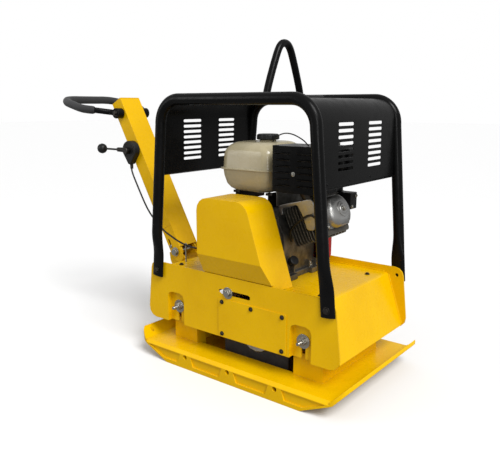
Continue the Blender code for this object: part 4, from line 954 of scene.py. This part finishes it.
def inset_ring(z, inset, low, high, radius):
    """A rounded rectangle, drawn in from its corners, at one height."""
    corners = rectangle((low[0] + inset, low[1] + inset), (high[0] - inset, high[1] - inset), radius, 10)
    return [(x, y, z) for x, y in corners]


def tank():
    """Two pressed halves with a rolled seam, domed shoulders and a ribbed cap."""
    low, high = (-0.178, -0.128), (0.055, 0.130)
    levels = [(0.6400, 0.048, 0.030), (0.6425, 0.039, 0.034), (0.6510, 0.027, 0.036), (0.6660, 0.017, 0.036),
              (0.6950, 0.010, 0.036), (0.7170, 0.0075, 0.036), (0.7178, 0.0, 0.038), (0.7215, 0.0, 0.038),
              (0.7223, 0.0075, 0.036)]
    dome = 0.044
    for i in range(13):
        t = math.radians(90 * i / 12)
        levels.append((0.764 + (0.812 - 0.764) * math.sin(t), 0.0105 + dome * (1 - math.cos(t)),
                       0.034 + 0.004 * math.sin(t)))
    rings = [inset_ring(z, inset, low, high, radius) for z, inset, radius in levels]
    neck = turned([(0.806, 0.033), (0.8125, 0.030), (0.8175, 0.0285)], (-0.045, 0, 0), "Z")
    piece("pressed_fuel_tank", joined(stacked(rings), neck), TANK, width=0.0006,
          stands_for="fuel_tank")
    foot = 0.8184
    rings = []
    for z, radius in ((foot, 0.0372), (foot + 0.002, 0.0400), (foot + 0.013, 0.0400), (foot + 0.017, 0.0385),
                      (foot + 0.0195, 0.0340), (foot + 0.0185, 0.0300), (foot + 0.0200, 0.0120)):
        ring = []
        for i in range(CAP_RIBS * 4):
            grip = 1.0 - (0.022 if radius > 0.036 and i % 4 in (0, 1) else 0.0)
            angle = 2 * math.pi * i / (CAP_RIBS * 4)
            ring.append((radius * grip * math.cos(angle), radius * grip * math.sin(angle), z))
        rings.append(ring)
    piece("ribbed_fuel_cap", stacked(rings), PLASTIC, "cap", at=(-0.045, 0, 0), width=BOLT_EDGE,
          stands_for="fuel_cap")
    rails = (-0.125, 0.018)
    brackets = [block((x, -0.085, 0.602), (x + 0.004, 0.085, 0.6405)) for x in rails]
    brackets += [block((x, -0.085, 0.585), (x + 0.004, 0.022, 0.603)) for x in rails]
    brackets += [block((x - 0.012, y - 0.012, 0.632), (x + 0.016, y + 0.012, 0.6403))
                 for x in rails for y in (-0.07, 0.07)]
    piece("tank_brackets", joined(*brackets), HOT_STEEL, width=0.0008)
    plate = prism(rounded([(-0.090, 0.600, 0.006), (0.085, 0.600, 0.006), (0.085, 0.668, 0.012),
                           (-0.090, 0.668, 0.012)]),
                  0.0575, 0.0605, "X")
    lip = block((0.0585, -0.080, 0.600), (0.0705, 0.080, 0.6035))
    piece("guard_stay_plate", joined(plate, lip), CAST_ALUMINIUM, width=0.0008)


def exhaust():
    """Muffler inside its louvred sheet guard, with the wire stay over it."""
    low, high = (0.082, -0.135, 0.672), (0.241, -0.020, 0.796)
    shape = prism(rectangle(low[:2], high[:2], 0.030), low[2], high[2], "Z")
    pipe = turned([(0.650, 0.016), (0.675, 0.016)], (0.19, -0.05, 0), "Z")
    piece("muffler_can", joined(shape, pipe), HOT_STEEL, width=0.006, stands_for="muffler")
    room, wall = 0.010, 0.0025
    low = (low[0] - room, low[1] - room)
    high = (high[0] + room, high[1] + room)
    top = 0.810
    shell = prism(rectangle(low, high, 0.014), 0.660, top, "Z")
    inside = prism(rectangle((low[0] + wall, low[1] + wall), (high[0] - wall, high[1] - wall), 0.0115), 0.60,
                   top - wall, "Z")
    columns = (0.118, 0.205)
    levels = [0.684 + LOUVRE_PITCH * row for row in range(LOUVRE_ROWS)]
    slots = [prism(slot_outline((x, z), 0.060, LOUVRE_GAP, 5), -0.20, -0.12)
             for x in columns for z in levels]
    slots += [prism(slot_outline((-0.077, z), 0.066, LOUVRE_GAP, 5), 0.20, 0.32, "X") for z in levels]
    piece("louvred_guard", shell, BLACK, carved=[inside, joined(*slots)], width=0.0008,
          stands_for="muffler_guard")
    hoods = []
    for x in columns:
        for z in levels:
            profile = [(low[1] + 0.0006, z + 0.0040), (low[1] - 0.0042, z + 0.0002),
                       (low[1] - 0.0036, z - 0.0010), (low[1] + 0.0006, z + 0.0026)]
            hoods.append(prism(profile, x - 0.029, x + 0.029, "X"))
    piece("guard_louvres", joined(*hoods), BLACK, width=SMALL_BOLT_EDGE)
    head = bolt((0.1615, low[1] - 0.0001, 0.722), (0, -1, 0), 0.0050, 1.5)
    piece("guard_bolts", head, ZINC, width=BOLT_EDGE)
    stay = [(-0.002, -0.030, 0.8135), (0.010, -0.034, 0.826), (0.045, -0.052, 0.840), (0.085, -0.072, 0.846),
            (0.130, -0.094, 0.842), (0.175, -0.112, 0.828), (0.200, -0.120, 0.8120)]
    piece("cap_tether", rod(stay, 0.0021, 0.006, 10, UP), PLASTIC)


def air_cleaner():
    """Moulded box with a lid, clips and a wing nut, on an elbow to the carburettor."""
    low, high = (0.092, 0.002), (0.268, 0.168)
    rings = [inset_ring(z, inset, low, high, 0.028) for z, inset in
             ((0.676, 0.010), (0.680, 0.004), (0.728, 0.0015), (0.730, 0.0045), (0.733, 0.0045), (0.735, 0.0),
              (0.782, 0.002), (0.792, 0.006), (0.798, 0.014), (0.800, 0.024))]
    elbow = turned([(0.6400, 0.0235), (0.6430, 0.0240), (0.6900, 0.0240)], (0.160, 0.135, 0), "Z")
    ribs = [block((x - 0.0025, 0.030, 0.7985), (x + 0.0025, 0.140, 0.8015))
            for x in (0.130, 0.155, 0.205, 0.230)]
    piece("air_cleaner_box", joined(stacked(rings), elbow, *ribs), PLASTIC, width=0.0008,
          stands_for="air_cleaner")
    clips = [block((0.150, y, 0.716), (0.172, y + 0.0022, 0.752)) for y in (0.0005, 0.1675)]
    wing = [turned([(0.800, 0.007), (0.808, 0.006)], (0.18, 0.085, 0), "Z"),
            block((0.163, 0.0838, 0.8035), (0.197, 0.0862, 0.8135))]
    linkage = [rod([(0.140, 0.112, 0.640), (0.110, 0.090, 0.628), (0.060, 0.070, 0.610),
                    (0.020, 0.060, 0.594)], 0.0016),
               block((0.132, 0.106, 0.618), (0.150, 0.109, 0.660))]
    piece("air_cleaner_clips", joined(*clips, *wing, *linkage), ZINC, width=0.0004)
    inlet = smooth_route([(0.162, 0.132, 0.602), (0.186, 0.118, 0.604), (0.206, 0.092, 0.598),
                          (0.212, 0.066, 0.590)], 0.005)
    flange = block((0.184, 0.104, 0.582), (0.236, 0.150, 0.640))
    piece("intake_elbow", joined(swept(inlet, [(0.017, 0.017)] * len(inlet), 20, UP), flange),
          PLASTIC, width=0.003)
    heads = [bolt((0.2362, y, z), (1, 0, 0), 0.005, 1.3) for y, z in ((0.114, 0.592), (0.140, 0.628))]
    piece("intake_bolts", joined(*heads), ZINC, width=SMALL_BOLT_EDGE)


def recoil():
    """Recoil starter housing with cooling slots, and its grip on the cord guide."""
    profile = [(0.1725, 0.0880), (0.1745, 0.0885), (0.1880, 0.0880), (0.1920, 0.0860), (0.2100, 0.0755),
               (0.2140, 0.0715), (0.2170, 0.0560), (0.2180, 0.0420), (0.2215, 0.0380), (0.2220, 0.0330)]
    slots = []
    for i in range(RECOIL_SLOTS):
        turn = Matrix.Rotation(2 * math.pi * i / RECOIL_SLOTS, 4, "Y")
        slots.append(placed(prism(slot_outline((0.062, 0), 0.020, 0.008), 0.2115, 0.25), turn))
    guide = block((0.044, 0.176, 0.060), (0.076, 0.2132, 0.090))
    piece("slotted_recoil_cover", joined(turned(profile, sides=56), guide), RED, at=CRANK,
          width=0.0012, carved=[joined(*slots)], stands_for="recoil_cover")
    heads = []
    for i in range(4):
        angle = math.radians(45 + 90 * i)
        at = CRANK + Vector((0.094 * math.cos(angle), 0.1723, 0.094 * math.sin(angle)))
        heads.append(bolt(at, (0, 1, 0), 0.0050, 1.4))
    piece("recoil_bolts", joined(*heads), ZINC, width=SMALL_BOLT_EDGE)
    at = (0.055, 0.2136, 0.553)
    outline = rounded([(-0.026, 0.0, 0.003), (0.026, 0.0, 0.003), (0.040, 0.010, 0.006),
                       (0.036, 0.018, 0.006), (0.0, 0.0155, 0.02), (-0.036, 0.018, 0.006),
                       (-0.040, 0.010, 0.006)], 6)
    piece("shaped_starter_grip", prism(outline, -0.0085, 0.0085, "Z"), PLASTIC, "grip", at=at,
          width=0.0028, stands_for="starter_grip")
    cord = turned([(-0.030, 0.0022), (0.004, 0.0022)], at, sides=12)
    piece("starter_cord_end", cord, CORD_WEAVE, "grip")


# Handle


def arm_matrix():
    """The handle arm's own frame, which stands on its pivot and leans with the arm."""
    return Matrix.Translation(PIVOT) @ Matrix.Rotation(-ARM_TILT, 4, "Y")


def arm_point(forward, up):
    return arm_matrix() @ Vector((forward, 0, up))


def handle():
    dress(YELLOW, "handle_arm", width=0.0018)
    dress(ZINC, "latch_pin", width=0.0004)
    deep, wide = ARM_HALF_DEPTH, ARM_HALF_WIDTH
    seam = 0.110
    bead = 0.0014
    beads = [weld_bead((-deep, y, seam), (deep, y, seam), bead) for y in (-wide - 0.0002, wide + 0.0002)]
    beads.append(weld_bead((deep, -wide + 0.004, 0.6825), (deep, wide - 0.004, 0.6825), bead))
    piece("arm_weld_seams", placed(joined(*beads), arm_matrix()), YELLOW, "handle")
    control_loop()
    throttle()


def control_loop():
    """Bent tube with a long foam grip and end hubs on the arm's cross shaft."""
    centre = arm_point(*LOOP_AT)
    half = [(0.0, -0.0710, 0.0), (-0.030, -0.080, 0.004), (-0.075, -0.124, 0.012), (-0.125, -0.153, 0.019),
            (-0.190, -0.155, 0.034), (-0.238, -0.146, 0.044), (-0.270, -0.122, 0.052),
            (-0.281, -0.085, 0.055), (-0.2825, -0.040, 0.055)]
    points = half + [(x, -y, z) for x, y, z in reversed(half)]
    route = smooth_route(points, 0.006)
    tube = swept(route, [(0.0118, 0.0118)] * len(route), 24, UP)
    shaft = turned([(-0.066, 0.009), (0.066, 0.009)])
    hubs = [turned([(sign * 0.0535, 0.0195), (sign * 0.0550, 0.0210), (sign * 0.0845, 0.0210),
                    (sign * 0.0860, 0.0195)])
            for sign in (-1, 1)]
    piece("loop_tube", joined(tube, shaft, *hubs), BLACK, "loop", at=centre, width=0.0008,
          stands_for="control_loop")
    foam_route = route[round(len(route) * 0.115):round(len(route) * 0.885)]
    sections = []
    for i in range(len(foam_route)):
        near = min(i, len(foam_route) - 1 - i)
        radius = 0.0135 if near == 0 else 0.0160 if near == 1 else 0.0166
        sections.append((radius, radius))
    piece("foam_grip", swept(foam_route, sections, 28, UP), FOAM, "loop", at=centre)
    heads = [bolt((0, sign * 0.0862, 0), (0, sign, 0), 0.0085, 1.4) for sign in (-1, 1)]
    piece("loop_bolts", joined(*heads), DARK_BOLT, "loop", at=centre, width=BOLT_EDGE)


def throttle():
    """Throttle box with its lid ring, lever rod with a turned ball knob, and the sheathed cable."""
    centre = arm_point(*LEVER_AT)
    outline = arc((0, 0), 0.040, -15, 195, 40) + arc((0.0, -0.044), 0.013, 200, 340, 12)
    face = -ARM_HALF_WIDTH - GAP
    front, rim = face - 0.0275, face - 0.0283
    piece("throttle_box", prism(outline, front, face), PLASTIC, "handle", at=centre,
          width=0.0030, stands_for="throttle_housing")
    lid = turned([(face - 0.0265, 0.034), (rim, 0.0335), (rim, 0.030), (face - 0.0265, 0.0295)], ring=True)
    screws = [placed(turned([(0, 0.0035), (0.0016, 0.0032)], axis="Z", sides=16),
                     facing((0.033 * math.cos(t), front, 0.033 * math.sin(t)), (0, -1, 0)))
              for t in (math.radians(30), math.radians(150), math.radians(270))]
    sleeve = turned([(-0.020, 0.0062), (0.0, 0.0070), (0.004, 0.0070)], (0, face - 0.014, -0.055), "Z", 20)
    piece("throttle_box_trim", joined(lid, *screws, sleeve), DARK_BOLT, "handle", at=centre,
          width=SMALL_BOLT_EDGE)
    low = rim - GAP
    boss = turned([(face - 0.010, 0.006), (low, 0.006), (low, 0.0135), (low - 0.019, 0.0140),
                   (low - 0.021, 0.0125)],
                  sides=SMALL_ROUND)
    at = low - 0.0108
    bar = turned([(-0.145, 0.004), (-0.055, 0.004), (-0.052, 0.009), (-0.008, 0.010)], (0, at, 0.003), "X",
                 SMALL_ROUND)
    piece("lever_rod", joined(boss, bar), DARK_BOLT, "lever", at=centre, width=0.0006,
          stands_for="throttle_lever")
    knob = turned([(-0.1755, 0.007), (-0.1720, 0.0135), (-0.1640, 0.0195), (-0.1550, 0.0215),
                   (-0.1460, 0.0195), (-0.1380, 0.0135), (-0.1345, 0.0080)], (0, at, 0.003), "X", 12)
    piece("lever_knob", knob, PLASTIC, "lever", at=centre, width=0.0006)
    sheath = piece("cable_sheath", rod(CABLE_POINTS, 0.0034, 0.006, 14), PLASTIC, None,
                   stands_for="throttle_cable")
    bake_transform(sheath)
    clip = [(x, -0.1185, z) for x, z in arc((-0.345, 0.4128), 0.0055, 0, 360, 16)]
    post = block((-0.3475, -0.1210, 0.3451), (-0.3425, -0.1160, 0.4078))
    piece("cable_clip", joined(rod(clip, 0.0016, 0.002, 8), post), ZINC)


camera()
studio()
base()
chassis()
drive_belt()
cage()
engine()
handle()
